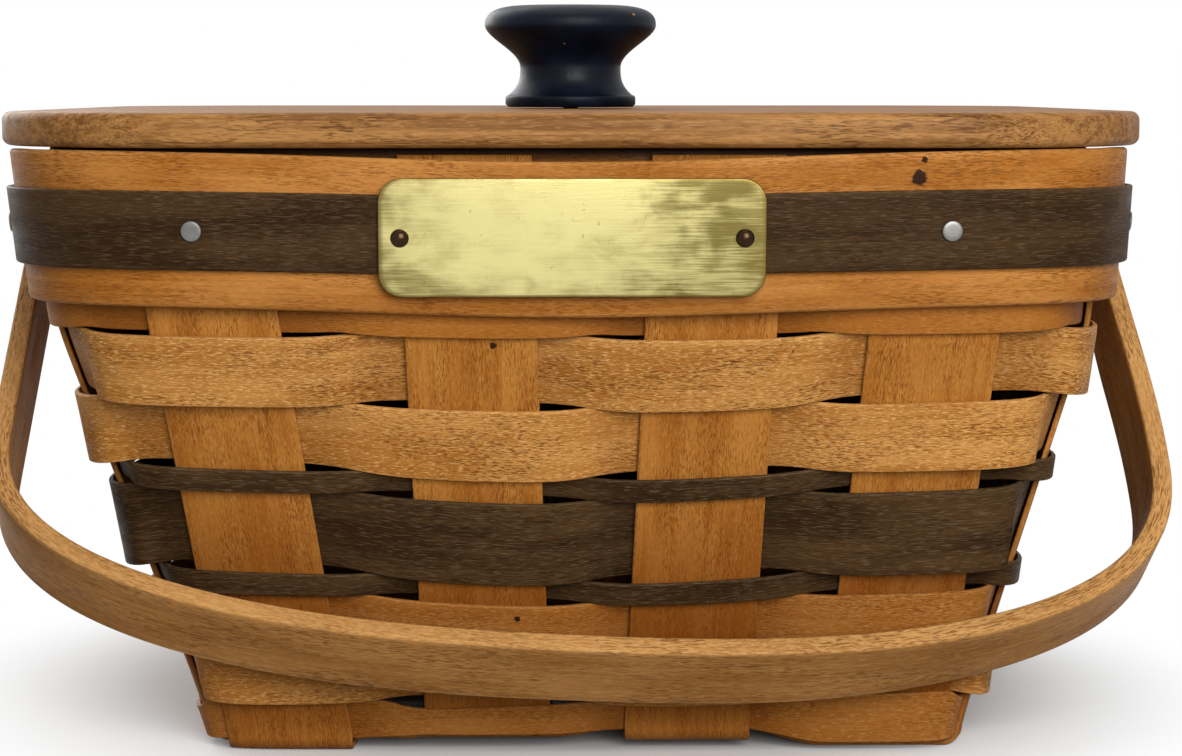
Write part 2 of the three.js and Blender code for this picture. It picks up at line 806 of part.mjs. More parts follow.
addPiece(basket, "rim_band_inner", cut(innerBand, [...nailHoles, ...rivetHoles]), honeyMaple);
addPiece(basket, "rim_band_outer", cut(outerBand, [...nailHoles, ...rivetHoles, ...pinHoles]), honeyMaple);
addPiece(basket, "rim_trim_strip", cut(trim, [...nailHoles, ...rivetHoles, ...pinHoles]), walnutStain);

const plate = addPiece(basket, "name_plate", plateBlank, agedBrass);
faceOut(plate, frontAngle, rimTilt, plateFace - plateThickness);

const pinShank = (plateFace - weaveFace - clearance) * Math.cos(rimTilt);
const pinProfile = [
  [0, -pinShank],
  [pinShankRadius, -pinShank],
  [pinShankRadius, clearance / 2],
  ...dome(pinHeadRadius, pinHeadHeight, clearance / 2, 3),
];
[-1, 1].forEach((sign) => {
  const name = `plate_pin_${sign < 0 ? "left" : "right"}`;
  const pin = addPiece(basket, name, turned(pinProfile, 10), agedBrass);
  faceOut(pin, frontAngle, rimTilt, plateFace);
  pin.position.x += sign * pinAlong;
});

const nailLength = (trimFace + bandFace) * Math.cos(rimTilt);
const nailProfile = [
  [0, -nailLength],
  [nailShankRadius, -nailLength],
  [nailShankRadius, clearance],
  ...dome(nailHeadRadius, nailHeadHeight, clearance, 2),
];
nails.forEach(({ name, angle }) => {
  const nail = addPiece(basket, name, turned(nailProfile, 8), paleSteel);
  faceOut(nail, angle, rimTilt, trimFace);
});

// Handle rivets: a domed head outside, the shank through the rim, and a tail peened over a burr inside
const burrBack = bandFace + clearance + Math.abs(rimSlope) * burrRadius + burrThickness;
const rivetTail = burrBack + clearance;
const rivetLength = handleInner + handleThickness + clearance + rivetTail;
const rivetProfile = [
  ...dome(rivetTailRadius, rivetTailHeight, 0, 3)
    .reverse()
    .map(([radius, height]) => [radius, -rivetLength - height]),
  [rivetRadius, -rivetLength],
  [rivetRadius, 0],
  ...dome(rivetHeadRadius, rivetHeadHeight, 0, 3),
];
const burrShape = new THREE.Shape().absarc(0, 0, burrRadius, 0, 2 * HALF_TURN);
burrShape.holes.push(new THREE.Path().absarc(0, 0, rivetRadius + clearance, 0, 2 * HALF_TURN));
const burrBlank = new THREE.ExtrudeGeometry(burrShape, {
  depth: burrThickness,
  bevelEnabled: false,
  curveSegments: 6,
});
rivetSides.forEach(({ name, side }) => {
  const angle = sideAngle(side, 0, trimZ);
  const rivet = addPiece(basket, `handle_rivet_${name}`, turned(rivetProfile, 12), agedBrass);
  faceOut(rivet, angle, 0, handleInner + handleThickness + clearance);
  const burr = addPiece(basket, `rivet_burr_${name}`, burrBlank, agedBrass);
  faceOut(burr, angle, 0, -burrBack);
});

addPiece(handle, "handle", handleSolid(), honeyMaple);
handle.position.set(0, 0, trimZ);
handle.rotation.x = QUARTER_TURN + handleDroop();

lid.position.set(0, 0, lidBottom);
addPiece(lid, "lid_board", lidSolid(), lidMaple);
const batten = battenGeometry();
[-1, 1].forEach((sign) => {
  const mesh = addPiece(lid, `lid_batten_${sign < 0 ? "left" : "right"}`, batten.geometry, lidMaple);
  mesh.position.set(sign < 0 ? -batten.place - battenWidth : batten.place, 0, -clearance);
});
addPiece(lid, "lid_knob", knobGeometry(), navyPaint).position.z = lidThickness + clearance;
const screwProfile = [
  [0, -screwHeadHeight - clearance],
  [screwHeadRadius, -screwHeadHeight - clearance],
  [screwHeadRadius, -clearance],
  [screwRadius, -clearance],
  [screwRadius, lidThickness + screwBite - screwRadius],
  [0, lidThickness + screwBite],
];
addPiece(lid, "knob_screw", turned(screwProfile, 10), paleSteel);

export default part;
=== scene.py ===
"""Berry basket: the looks of a square splint basket with a wooden lid and a swinging handle.

Every piece is a surface worked out from the basket's own sizes, in millimetres, and set down in metres
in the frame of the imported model. +Z is up and the front faces -Y. Each surface carries a "grain" map,
whose two numbers are metres along and across the wood, so that every pattern has its real size.
"""

import logging
import math
from dataclasses import dataclass
from enum import Enum, IntEnum

import bpy
import numpy as np
from numpy.typing import NDArray
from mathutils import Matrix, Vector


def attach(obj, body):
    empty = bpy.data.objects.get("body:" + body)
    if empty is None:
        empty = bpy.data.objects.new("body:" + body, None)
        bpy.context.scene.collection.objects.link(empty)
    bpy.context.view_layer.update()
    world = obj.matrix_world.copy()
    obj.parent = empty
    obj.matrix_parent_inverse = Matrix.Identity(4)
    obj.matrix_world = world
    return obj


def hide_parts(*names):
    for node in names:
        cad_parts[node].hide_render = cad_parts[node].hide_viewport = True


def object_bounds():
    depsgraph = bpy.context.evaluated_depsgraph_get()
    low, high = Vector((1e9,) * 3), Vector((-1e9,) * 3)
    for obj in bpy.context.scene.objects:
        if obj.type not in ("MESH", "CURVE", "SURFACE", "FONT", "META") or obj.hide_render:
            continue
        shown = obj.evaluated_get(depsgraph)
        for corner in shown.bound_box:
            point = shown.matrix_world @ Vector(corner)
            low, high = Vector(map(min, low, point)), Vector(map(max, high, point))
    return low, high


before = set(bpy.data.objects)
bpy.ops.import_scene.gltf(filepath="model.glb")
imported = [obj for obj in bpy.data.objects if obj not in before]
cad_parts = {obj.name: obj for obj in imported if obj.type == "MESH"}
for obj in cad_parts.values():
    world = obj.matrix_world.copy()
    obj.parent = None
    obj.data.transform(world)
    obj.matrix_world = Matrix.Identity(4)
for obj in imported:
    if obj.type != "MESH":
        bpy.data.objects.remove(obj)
CAD_BOX = [list(corner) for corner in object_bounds()]

Array = NDArray[np.float64]
Colour = tuple[float, float, float, float]
Place = tuple[float, float, float]
Socket = bpy.types.NodeSocket
Feeds = dict[str | int, object]

MM = 0.001
QUARTER = math.pi / 2
TURN = 2.0 * math.pi
TIP = 0.02  # Radius of the smallest ring at the end of a closed shape, or its share of the shape.
UNDERCUT = 0.9  # Share of a domed head's radius at which its underside meets its rounded edge.
STEEP = 0.9  # Rise of an axis above which it counts as upright.
SOFT = (0.38, 0.62)  # Span of a noise that parts two tones softly.
log = logging.getLogger("berry_basket")


class Body(Enum):
    """The bodies that the pieces ride on."""

    BASKET = "basket"
    HANDLE = "handle"
    LID = "lid"


class Slot(Enum):
    """The record's material slots."""

    HONEY = "honey_maple"
    WALNUT = "walnut_stain"
    LID = "lid_maple"
    NAVY = "navy_paint"
    BRASS = "aged_brass"
    STEEL = "pale_steel"


class Side(IntEnum):
    """The walls, counted anticlockwise from the front as seen from above."""

    FRONT = 0
    RIGHT = 1
    BACK = 2
    LEFT = 3


def lerp(start: Array | float, end: Array | float, share: Array | float) -> Array | float:
    """Value at a share of the way from start to end."""
    return start + (end - start) * share


def smooth(share: Array | float) -> Array | float:
    """Share from 0 to 1 with a level start and end: 3t^2 - 2t^3."""
    held = np.clip(share, 0.0, 1.0)
    return held * held * (3.0 - 2.0 * held)


def srgb(red: int, green: int, blue: int) -> Colour:
    """Linear colour of a screen colour from 0 to 255.

    Args:
        red: Red from 0 to 255.
        green: Green from 0 to 255.
        blue: Blue from 0 to 255.

    Returns:
        Colour: Linear red, green and blue, and full opacity.
    """
    shares = np.array([red, green, blue]) / 255.0
    linear = np.where(shares <= 0.04045, shares / 12.92, ((shares + 0.055) / 1.055) ** 2.4)
    return (*(float(value) for value in linear), 1.0)


def drift(turn: Array, seed: int, size: float) -> Array:
    """Slow hand-made unevenness round a hoop or along a bar.

    It is a sum of five sine waves of falling height, whose starts come from the seed.

    Args:
        turn: Place along the piece, from 0 to 1.
        seed: Number that sets the starts of the waves.
        size: Rough height of the unevenness.

    Returns:
        Array: One value for each place.
    """
    waves = np.arange(1, 6)
    starts = np.random.default_rng(seed).uniform(0.0, TURN, waves.size)
    return size * np.sum(np.sin(TURN * turn[..., None] * waves + starts) / waves, axis=-1)


@dataclass(frozen=True)
class Profile:
    """Closed outline across a strip of wood: outer face, upper edge, inner face, lower edge.

    Args:
        across: Place of each point across the width, from the lower edge to the upper one.
        depth: Place of each point through the thickness, outwards positive.
        rim: How near each point is to an edge, from 0 to 1.
    """

    across: Array
    depth: Array
    rim: Array

    @property
    def run(self) -> Array:
        """Distance round the outline at each point, and once more at its end.

        Returns:
            Array: The distances, from 0 to the length of the outline.
        """
        points = np.stack([self.across, self.depth], axis=-1)
        steps = np.linalg.norm(np.roll(points, -1, axis=0) - points, axis=-1)
        return np.concatenate([[0.0], np.cumsum(steps)])

    @classmethod
    def strip(cls, width: float, thickness: float, arris: float, columns: int = 9) -> "Profile":
        """Rectangle with rounded corners: straight faces joined by quarter circles.

        Args:
            width: Width of the strip.
            thickness: Thickness of the strip.
            arris: Radius of the rounded corners.
            columns: Points across each face.

        Returns:
            Profile: The outline, anticlockwise from the lower end of the outer face.
        """
        flat, core = width / 2 - arris, thickness / 2 - arris
        face = np.linspace(-flat, flat, columns)
        turns = np.array([0.25, 0.5, 0.75]) * QUARTER
        rise, sink = arris * np.sin(turns), arris * np.cos(turns)
        side = np.array([core, -core])
        upper = np.concatenate([flat + rise, [width / 2] * 2, flat + rise[::-1]])
        depth = np.concatenate([core + sink, side, -core - sink[::-1]])
        across = np.concatenate([face, upper, face[::-1], -upper])
        through = np.full(columns, thickness / 2)
        depths = np.concatenate([through, depth, -through, -depth])
        rim = np.clip((np.abs(across) - (flat - arris)) / (2 * arris), 0.0, 1.0)
        return cls(across, depths, rim)


@dataclass
class Surface:
    """A run of equal rings of points, skinned into a closed surface.

    Args:
        rings: Points in millimetres, ring by ring.
        hoop: True where the last ring joins the first; otherwise both ends are capped.
        along: Distance along the run at each ring, in millimetres, with one more value for a hoop.
        around: Distance round a ring at each of its points, with one more value where it closes.
        rim: How near each point is to an edge of the wood, from 0 to 1.
        tone: How dark the wood is at each point, from 0 to 1: its own tone, and painted shade.
        warm: How far the wood turns to its warm colour at each point, from 0 to 1; where that colour is
            near black it is painted shade.
        shift: Where the piece lies in the pattern of its wood, in millimetres.
    """

    rings: Array
    hoop: bool = False
    along: Array | None = None
    around: Array | None = None
    rim: Array | float = 0.0
    tone: Array | float = 0.0
    warm: Array | float = 0.0
    shift: tuple[float, float] = (0.0, 0.0)

    def _map(self) -> Array:
        """Grain map at every corner of the rings, in metres, closed where the surface closes.

        Returns:
            Array: Two numbers for each ring and each point, with one more where the surface closes.
        """
        count = len(self.rings)
        if self.along is None:
            middles = self.rings.mean(axis=1)
            steps = np.linalg.norm(np.diff(middles, axis=0, append=middles[:1]), axis=-1)
            self.along = np.concatenate([[0.0], np.cumsum(steps)])[: count + self.hoop]
        if self.around is None:
            ring = self.rings[count // 2]
            steps = np.linalg.norm(np.roll(ring, -1, axis=0) - ring, axis=-1)
            self.around = np.concatenate([[0.0], np.cumsum(steps)])
        u, v = np.meshgrid(self.along, self.around, indexing="ij")
        return np.stack([u + self.shift[0], v + self.shift[1]], axis=-1) * MM

    def mesh(self, name: str) -> bpy.types.Mesh:
        """Makes the mesh: a quad between each pair of neighbouring points, and a face over each open end.

        Args:
            name: Name of the mesh.

        Returns:
            bpy.types.Mesh: Closed mesh with its grain map, and its rim, tone and warm values.
        """
        count, size = self.rings.shape[:2]
        rows = np.arange(count if self.hoop else count - 1)[:, None]
        columns = np.arange(size)[None, :]
        here, beyond, beside = rows * size, ((rows + 1) % count) * size, (columns + 1) % size
        quads = np.stack([here + columns, beyond + columns, beyond + beside, here + beside], axis=-1)
        grain = self._map()
        corners = [(rows, columns), (rows + 1, columns), (rows + 1, columns + 1), (rows, columns + 1)]
        maps = np.stack([grain[r, c] for r, c in corners], axis=-2).reshape(-1, 2)
        loops, starts = quads.reshape(-1), np.arange(rows.size * size) * 4
        flat = 0
        if not self.hoop:
            ends = np.arange(size)
            last = (count - 1) * size + ends[::-1]
            loops = np.concatenate([loops, ends, last])
            starts = np.concatenate([starts, [quads.size, quads.size + size]])
            maps = np.concatenate([maps, grain[0, :size], grain[-1, :size][::-1]])
            flat = 2
        mesh = bpy.data.meshes.new(name)
        mesh.vertices.add(count * size)
        mesh.vertices.foreach_set("co", (self.rings * MM).astype(np.float32).ravel())
        mesh.loops.add(loops.size)
        mesh.loops.foreach_set("vertex_index", loops.astype(np.int32))
        mesh.polygons.add(starts.size)
        mesh.polygons.foreach_set("loop_start", starts.astype(np.int32))
        mesh.polygons.foreach_set("use_smooth", np.arange(starts.size) < starts.size - flat)
        mesh.uv_layers.new(name="grain").uv.foreach_set("vector", maps.astype(np.float32).ravel())
        for label, values in (("rim", self.rim), ("tone", self.tone), ("warm", self.warm)):
            spread = np.broadcast_to(values, (count, size)).astype(np.float32)
            mesh.attributes.new(label, "FLOAT", "POINT").data.foreach_set("value", spread.ravel())
        mesh.update(calc_edges=True)
        mesh.validate()
        return mesh


def add_piece(
    name: str, surface: Surface, material: bpy.types.Material, body: Body, slot: Slot, *nodes: str
) -> None:
    """Puts a finished piece into the scene in place of the model's own nodes.

    Args:
        name: Name of the piece.
        surface: Its shape.
        material: Its finish.
        body: The body that it moves with.
        slot: The record's material slot of the piece; not used.
        *nodes: The nodes that it stands for.
    """
    mesh = surface.mesh(name)
    mesh.materials.append(material)
    piece = bpy.data.objects.new(name, mesh)
    bpy.context.scene.collection.objects.link(piece)
    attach(piece, body.value)
    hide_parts(*nodes)
    log.info("%s: %d points on %s", name, len(mesh.vertices), body.value)


# Finishes


def add_node(
    tree: bpy.types.NodeTree, kind: str, feeds: Feeds | None = None, **settings: object
) -> bpy.types.Node:
    """Adds a node to a tree, makes its settings and fills its sockets.

    Args:
        tree: The tree.
        kind: Type of the node.
        feeds: What goes into its sockets, by their names or numbers.
        **settings: Its other settings.

    Returns:
        bpy.types.Node: The node.
    """
    node = tree.nodes.new(kind)
    for key, value in settings.items():
        setattr(node, key, value)
    for key, value in (feeds or {}).items():
        feed(tree, node.inputs[key], value)
    return node


def feed(tree: bpy.types.NodeTree, socket: Socket, value: object) -> None:
    """Links a socket to a value that varies, or sets it to one that doesn't.

    Args:
        tree: The tree that the socket's node is in.
        socket: The socket.
        value: Another node's socket, or a constant.
    """
    if isinstance(value, bpy.types.NodeSocket):
        tree.links.new(value, socket)
    else:
        socket.default_value = value


class Graph:
    """A material's nodes, written as the sums that they stand for."""

    OFFSET_SHARES = (1.0, 1.7, 0.6)  # Parts of a pattern's offset along the three axes.
    DOT_OFFSET = 3.3  # Offset of the cells that hold the dots.
    DOT_CORE = 0.5  # Share of a dot's radius up to which it is full.
    DOT_CUT = 0.98  # Share of the dots' share up to which a cell's dot is full.
    SPOT_DEPTH = 4.0  # Reach of a spot from front to back, in radii.
    SPOT_GRAIN = (0.7, 0.4)  # Size of the noise that makes a spot ragged, in radii.
    SPOT_SPAN = (1.5, 1.2)  # Distance plus noise at which a spot begins and is full.

    def __init__(self, name: str, on_grain: bool = True) -> None:
        """Starts a material with one shader.

        Args:
            name: Name of the material.
            on_grain: True where patterns follow the grain map, False where they fill the object's space.
        """
        self.material = bpy.data.materials.new(name)
        self.material.use_nodes = True
        self.tree = self.material.node_tree
        self.shader = next(node for node in self.tree.nodes if node.type == "BSDF_PRINCIPLED")
        if on_grain:
            self.place = self._add("ShaderNodeUVMap", uv_map="grain").outputs["UV"]
        else:
            self.place = self._add("ShaderNodeTexCoord").outputs["Object"]

    def _add(self, kind: str, feeds: Feeds | None = None, **settings: object) -> bpy.types.Node:
        """A new node of this material, with its sockets filled."""
        return add_node(self.tree, kind, feeds, **settings)

    def put(self, **inputs: object) -> None:
        """Feeds the shader's own sockets.

        Args:
            **inputs: What goes into each, named in lower case with underscores.
        """
        names = {socket.name.lower().replace(" ", "_"): socket for socket in self.shader.inputs}
        for key, value in inputs.items():
            feed(self.tree, names[key], value)

    def cells(self, *size: float, offset: float = 0.0) -> Socket:
        """Pattern coordinates, counted in cells.

        Args:
            *size: Size of a cell along each axis in millimetres; the last also serves an axis left out.
            offset: How far the pattern is moved, in cells.

        Returns:
            Socket: The coordinates.
        """
        scales = [1.0 / (MM * value) for value in (*size, *size[-1:])[:3]]
        offsets = [offset * share for share in self.OFFSET_SHARES]
        feeds = {"Vector": self.place, "Scale": scales, "Location": offsets}
        return self._add("ShaderNodeMapping", feeds).outputs["Vector"]

    def noise(self, *size: float, offset: float = 0.0, detail: float = 2.0, warp: float = 0.0) -> Socket:
        """Cloudy pattern from 0 to 1.

        Args:
            *size: Size of its features along each axis in millimetres.
            offset: How far it is moved, in features.
            detail: Number of finer layers in it.
            warp: How much it is bent.

        Returns:
            Socket: The pattern.
        """
        cells = self.cells(*size, offset=offset)
        feeds = {"Vector": cells, "Scale": 1.0, "Detail": detail, "Distortion": warp}
        return self._add("ShaderNodeTexNoise", feeds).outputs["Fac"]

    def dots(self, *size: float, radius: float, share: float) -> Socket:
        """Scattered round spots: 1 within the radius, for the cells whose random red is below the share.

        Args:
            *size: Size of a cell along each axis in millimetres.
            radius: Radius of a spot, in cells.
            share: Share of the cells that hold a spot.

        Returns:
            Socket: The pattern.
        """
        feeds = {"Vector": self.cells(*size, offset=self.DOT_OFFSET), "Scale": 1.0}
        node = self._add("ShaderNodeTexVoronoi", feeds)
        red = self._add("ShaderNodeSeparateColor", {"Color": node.outputs["Color"]}).outputs["Red"]
        near = self.span(node.outputs["Distance"], radius, radius * self.DOT_CORE)
        return self.sum("MULTIPLY", near, self.span(red, share, share * self.DOT_CUT))

    def away(self, place: Place, size: Place) -> Socket:
        """Distance from a place in the object's space: the length of (point - place) / size.

        Args:
            place: The place in millimetres.
            size: Length that counts as 1 along each axis, in millimetres.

        Returns:
            Socket: The distance.
        """
        scales = 1.0 / np.array(size)
        point = self._add("ShaderNodeTexCoord").outputs["Object"]
        feeds = {"Vector": point, "Scale": scales / MM, "Location": -scales * place}
        apart = self._add("ShaderNodeMapping", feeds).outputs["Vector"]
        return self._add("ShaderNodeVectorMath", {0: apart}, operation="LENGTH").outputs["Value"]

    def spot(self, x: float, y: float, z: float, radius: float) -> Socket:
        """Ragged spot on the front or back: 1 where the distance and a noise add up to little.

        Args:
            x: Place of the spot to the right, in millimetres.
            y: Place to the back.
            z: Height.
            radius: Radius in millimetres.

        Returns:
            Socket: The pattern.
        """
        distance = self.away((x, y, z), (radius, radius * self.SPOT_DEPTH, radius))
        grain = [radius * share for share in self.SPOT_GRAIN]
        ragged = self.noise(*grain, offset=radius, detail=3.0)
        return self.span(self.sum("ADD", distance, ragged), *self.SPOT_SPAN)

    def value(self, name: str) -> Socket:
        """A piece's own value at each point, such as its rim or tone."""
        return self._add("ShaderNodeAttribute", attribute_name=name).outputs["Fac"]

    def span(self, value: Socket, low: float, high: float, start: float = 0.0, end: float = 1.0) -> Socket:
        """Value eased from start at low to end at high, and held beyond them.

        Args:
            value: The value.
            low: Where the easing begins.
            high: Where it ends.
            start: Result at low.
            end: Result at high.

        Returns:
            Socket: The result.
        """
        feeds = {"Value": value, "From Min": low, "From Max": high, "To Min": start, "To Max": end}
        return self._add("ShaderNodeMapRange", feeds, interpolation_type="SMOOTHSTEP").outputs["Result"]

    def sum(self, operation: str, first: Socket | float, second: Socket | float) -> Socket:
        """One step of arithmetic on two values."""
        return self._add("ShaderNodeMath", {0: first, 1: second}, operation=operation).outputs["Value"]

    def blend(self, share: Socket, first: Socket | Colour, second: Socket | Colour) -> Socket:
        """Colour at a share of the way from the first to the second."""
        feeds = {0: share, 6: first, 7: second}
        return self._add("ShaderNodeMix", feeds, data_type="RGBA").outputs[2]

    def bump(self, height: Socket, depth: float) -> None:
        """Roughens the surface by a height pattern whose full step is this deep, in millimetres."""
        node = self._add("ShaderNodeBump", {"Strength": 1.0, "Distance": depth * MM, "Height": height})
        self.put(normal=node.outputs["Normal"])


@dataclass(frozen=True)
class WoodFinish:
    """Stained splint or board: cloudy tone, long streaks, and short flecks along the grain: dark ones, and
    pale ones that are painted glints.

    Sizes are in millimetres along and across the grain.

    Args:
        name: Name of the material.
        light: Colour of the paler wood.
        deep: Colour of the deeper wood and of its streaks.
        dark: Colour that the wood's tone value leads to, for its own tone and for painted shade.
        fleck: Colour of the short dark flecks and of the specks.
        pale: Colour of the short pale flecks, which are painted glints, and of rubbed edges.
        warm: Colour that the wood's warm value leads to; near black on the uprights and bands, where it is
            painted shade.
        fleck_length: Length of a fleck.
        fleck_width: Width of a fleck.
        fleck_share: Strength of the dark flecks.
        glint_share: Strength of the pale flecks, the painted glints.
        streak_share: Share of the long streaks in the play of light and deep wood.
        rub: Strength of the rubbed edges.
        roughness: Roughness of the finish.
        specular: Strength of its reflections.
        coat: Strength of a varnish over it.
        coat_roughness: Roughness of that varnish.
        on_grain: True where the pattern follows the grain map, False for a board in the object's space.
        knots: Place and radius of each knot or stain.
        knot: Colour of the knots.
        cloud_size: Size of the clouds of tone.
        streak_size: Size of the streaks.
        wear_size: Size of the breaks in the rubbed edges.
        crowd_size: Size of the patches in which the flecks crowd together.
        gloss_size: Size of the duller and glossier patches.
        worn_span: Noise at which a rubbed edge begins and is full.
        fine_span: The same for a fine dark fleck.
        large_span: The same for a large dark fleck.
        glint_span: The same for a pale fleck, a painted glint.
        speck_pitch: Distance from one scattered speck's cell to the next.
        speck_radius: Radius of a speck, in cells.
        speck_share: Share of the cells that hold a speck.
        speck_strength: Strength of the specks.
        roughness_play: How far the roughness falls and rises from patch to patch.
        relief: Depth of the fibres and flecks.
        fibre_share: Share of that depth by which the fibres stand up.
        fleck_sink: Share of that depth by which the flecks are sunk.
    """

    name: str
    light: Colour
    deep: Colour
    dark: Colour
    fleck: Colour
    pale: Colour
    warm: Colour = srgb(164, 96, 26)
    fleck_length: float = 1.3
    fleck_width: float = 0.21
    fleck_share: float = 0.85
    glint_share: float = 0.6
    streak_share: float = 0.35
    rub: float = 0.3
    roughness: float = 0.52
    specular: float = 0.08
    coat: float = 0.0
    coat_roughness: float = 0.2
    on_grain: bool = True
    knots: tuple[tuple[float, float, float, float], ...] = ()
    knot: Colour = srgb(46, 24, 8)
    cloud_size: tuple[float, float] = (34.0, 9.0)
    streak_size: tuple[float, float] = (60.0, 1.1)
    wear_size: tuple[float, float] = (1.2, 0.45)
    crowd_size: tuple[float, float] = (22.0, 6.0)
    gloss_size: tuple[float, float] = (18.0, 4.0)
    worn_span: tuple[float, float] = (0.38, 0.58)
    fine_span: tuple[float, float] = (0.53, 0.62)
    large_span: tuple[float, float] = (0.60, 0.67)
    glint_span: tuple[float, float] = (0.54, 0.66)
    speck_pitch: float = 26.0
    speck_radius: float = 0.016
    speck_share: float = 0.3
    speck_strength: float = 0.85
    roughness_play: tuple[float, float] = (-0.07, 0.09)
    relief: float = 0.07
    fibre_share: float = 0.7
    fleck_sink: float = 0.5

    def material(self) -> bpy.types.Material:
        """Builds the material's nodes.

        Each pattern is a noise that is cut off softly, and the colours are laid over each other in turn:
        cloudy wood, rubbed edges, dark flecks, pale flecks that are painted glints, warm and dark tones
        that also carry painted shade, specks and knots.

        Returns:
            bpy.types.Material: The material.
        """
        graph = Graph(self.name, self.on_grain)
        cloud = graph.noise(*self.cloud_size, detail=3.0)
        streak = graph.noise(*self.streak_size, offset=5.1, detail=3.0, warp=0.4)
        cloudy = graph.sum("MULTIPLY", cloud, 1.0 - self.streak_share)
        mixed = graph.sum("ADD", cloudy, graph.sum("MULTIPLY", streak, self.streak_share))
        colour = graph.blend(graph.span(mixed, *SOFT), self.light, self.deep)
        wear = graph.noise(*self.wear_size, offset=2.2, detail=3.0)
        worn = graph.span(wear, *self.worn_span, 0.25, 1.0)
        edge = graph.sum("MULTIPLY", graph.span(graph.value("rim"), 0.3, 1.0), worn)
        colour = graph.blend(graph.sum("MULTIPLY", edge, self.rub), colour, self.pale)
        crowd = graph.span(graph.noise(*self.crowd_size, offset=8.4, detail=3.0), *SOFT, 0.3, 1.0)
        fine = graph.span(self._flecks(graph, 1.9), *self.fine_span)
        large = graph.span(self._flecks(graph, 7.1, longer=2.2, wider=1.6), *self.large_span)
        flecks = graph.sum("MULTIPLY", graph.sum("MAXIMUM", fine, large), crowd)
        colour = graph.blend(graph.sum("MULTIPLY", flecks, self.fleck_share), colour, self.fleck)
        # Pale flecks: painted glints of light along the fibres.
        glints = graph.span(self._flecks(graph, 6.7), *self.glint_span)
        colour = graph.blend(graph.sum("MULTIPLY", glints, self.glint_share), colour, self.pale)
        colour = graph.blend(graph.value("warm"), colour, self.warm)
        colour = graph.blend(graph.value("tone"), colour, self.dark)
        pitch, radius, share = self.speck_pitch, self.speck_radius, self.speck_share
        specks = graph.dots(pitch, pitch, radius=radius, share=share)
        colour = graph.blend(graph.sum("MULTIPLY", specks, self.speck_strength), colour, self.fleck)
        for place in self.knots:
            colour = graph.blend(graph.spot(*place), colour, self.knot)
        gloss = graph.noise(*self.gloss_size, offset=4.0)
        low, high = (self.roughness + play for play in self.roughness_play)
        fibre = graph.noise(self.fleck_length * 3.0, self.fleck_width * 0.6, offset=9.3, detail=2.0)
        raised = graph.sum("MULTIPLY", fibre, self.fibre_share)
        sunk = graph.sum("MULTIPLY", flecks, self.fleck_sink)
        graph.put(base_color=colour, roughness=graph.span(gloss, 0.3, 0.7, low, high))
        graph.put(specular_ior_level=self.specular)
        graph.put(coat_weight=self.coat, coat_roughness=self.coat_roughness)
        graph.bump(graph.sum("SUBTRACT", raised, sunk), self.relief)
        return graph.material

    def _flecks(self, graph: Graph, offset: float, longer: float = 1.0, wider: float = 1.0) -> Socket:
        """Noise with features of a fleck's size, or of so many times its length and width."""
        size = self.fleck_length * longer, self.fleck_width * wider
        return graph.noise(*size, offset=offset, detail=1.4, warp=0.4)


@dataclass(frozen=True)
class MetalFinish:
    """Brushed metal that dulls away from a painted highlight, in soft clouds and at its edges.

    Args:
        name: Name of the material.
        bright: Colour of the clean metal.
        dull: Colour of the tarnished metal.
        stain: Colour of the deepest tarnish.
        brush_length: Length of a brush mark in millimetres.
        tarnish: Strength of the tarnish clouds.
        roughness: Roughness of the clean metal.
        roughness_gain: How much rougher the dullest metal is.
        highlight_place: Middle of a painted highlight, where the metal is brightest, in millimetres.
        highlight_size: How far the painted highlight reaches along each axis.
        cloud_size: Size of the tarnish clouds along each axis.
        stain_size: Size of the deep stains.
        relief: Depth of the brush marks.
    """

    name: str
    bright: Colour
    dull: Colour
    stain: Colour
    brush_length: float = 16.0
    tarnish: float = 0.35
    roughness: float = 0.22
    roughness_gain: float = 0.15
    highlight_place: Place = (0.0, 0.0, 0.0)
    highlight_size: Place = (1000.0, 1000.0, 1000.0)
    cloud_size: Place = (8.0, 8.0, 5.0)
    stain_size: Place = (1.2, 1.2, 1.2)
    relief: float = 0.012

    def material(self) -> bpy.types.Material:
        """Builds the material's nodes: age is the distance from the painted highlight, plus clouds and
        brush lines.

        Returns:
            bpy.types.Material: The material.
        """
        graph = Graph(self.name, on_grain=False)
        marks = graph.noise(self.brush_length, 0.6, 0.3, detail=3.0)
        cloud = graph.noise(*self.cloud_size, offset=2.6, detail=5.0, warp=0.4)
        # Distance from the painted highlight: the metal dulls and roughens away from it.
        tone = graph.span(graph.away(self.highlight_place, self.highlight_size), 0.1, 1.1)
        clouds = graph.span(cloud, 0.35, 0.7, 0.0, self.tarnish)
        brushed = graph.span(tone, 0.0, 1.0, 0.1, 0.35)
        lines = graph.sum("MULTIPLY", graph.span(marks, 0.36, 0.64, -0.5, 0.5), brushed)
        age = graph.sum("ADD", graph.sum("ADD", tone, clouds), lines)
        colour = graph.blend(graph.span(age, 0.0, 1.4), self.bright, self.dull)
        fine = graph.span(graph.noise(*self.stain_size, offset=7.7, detail=4.0), 0.65, 0.76, 0.0, 0.4)
        edge = graph.span(graph.value("rim"), 0.2, 1.0, 0.0, 0.7)
        colour = graph.blend(graph.sum("MAXIMUM", fine, edge), colour, self.stain)
        graph.put(base_color=colour, metallic=1.0)
        rough = self.roughness + self.roughness_gain
        graph.put(roughness=graph.span(age, 0.0, 1.1, self.roughness, rough))
        graph.bump(marks, self.relief)
        return graph.material


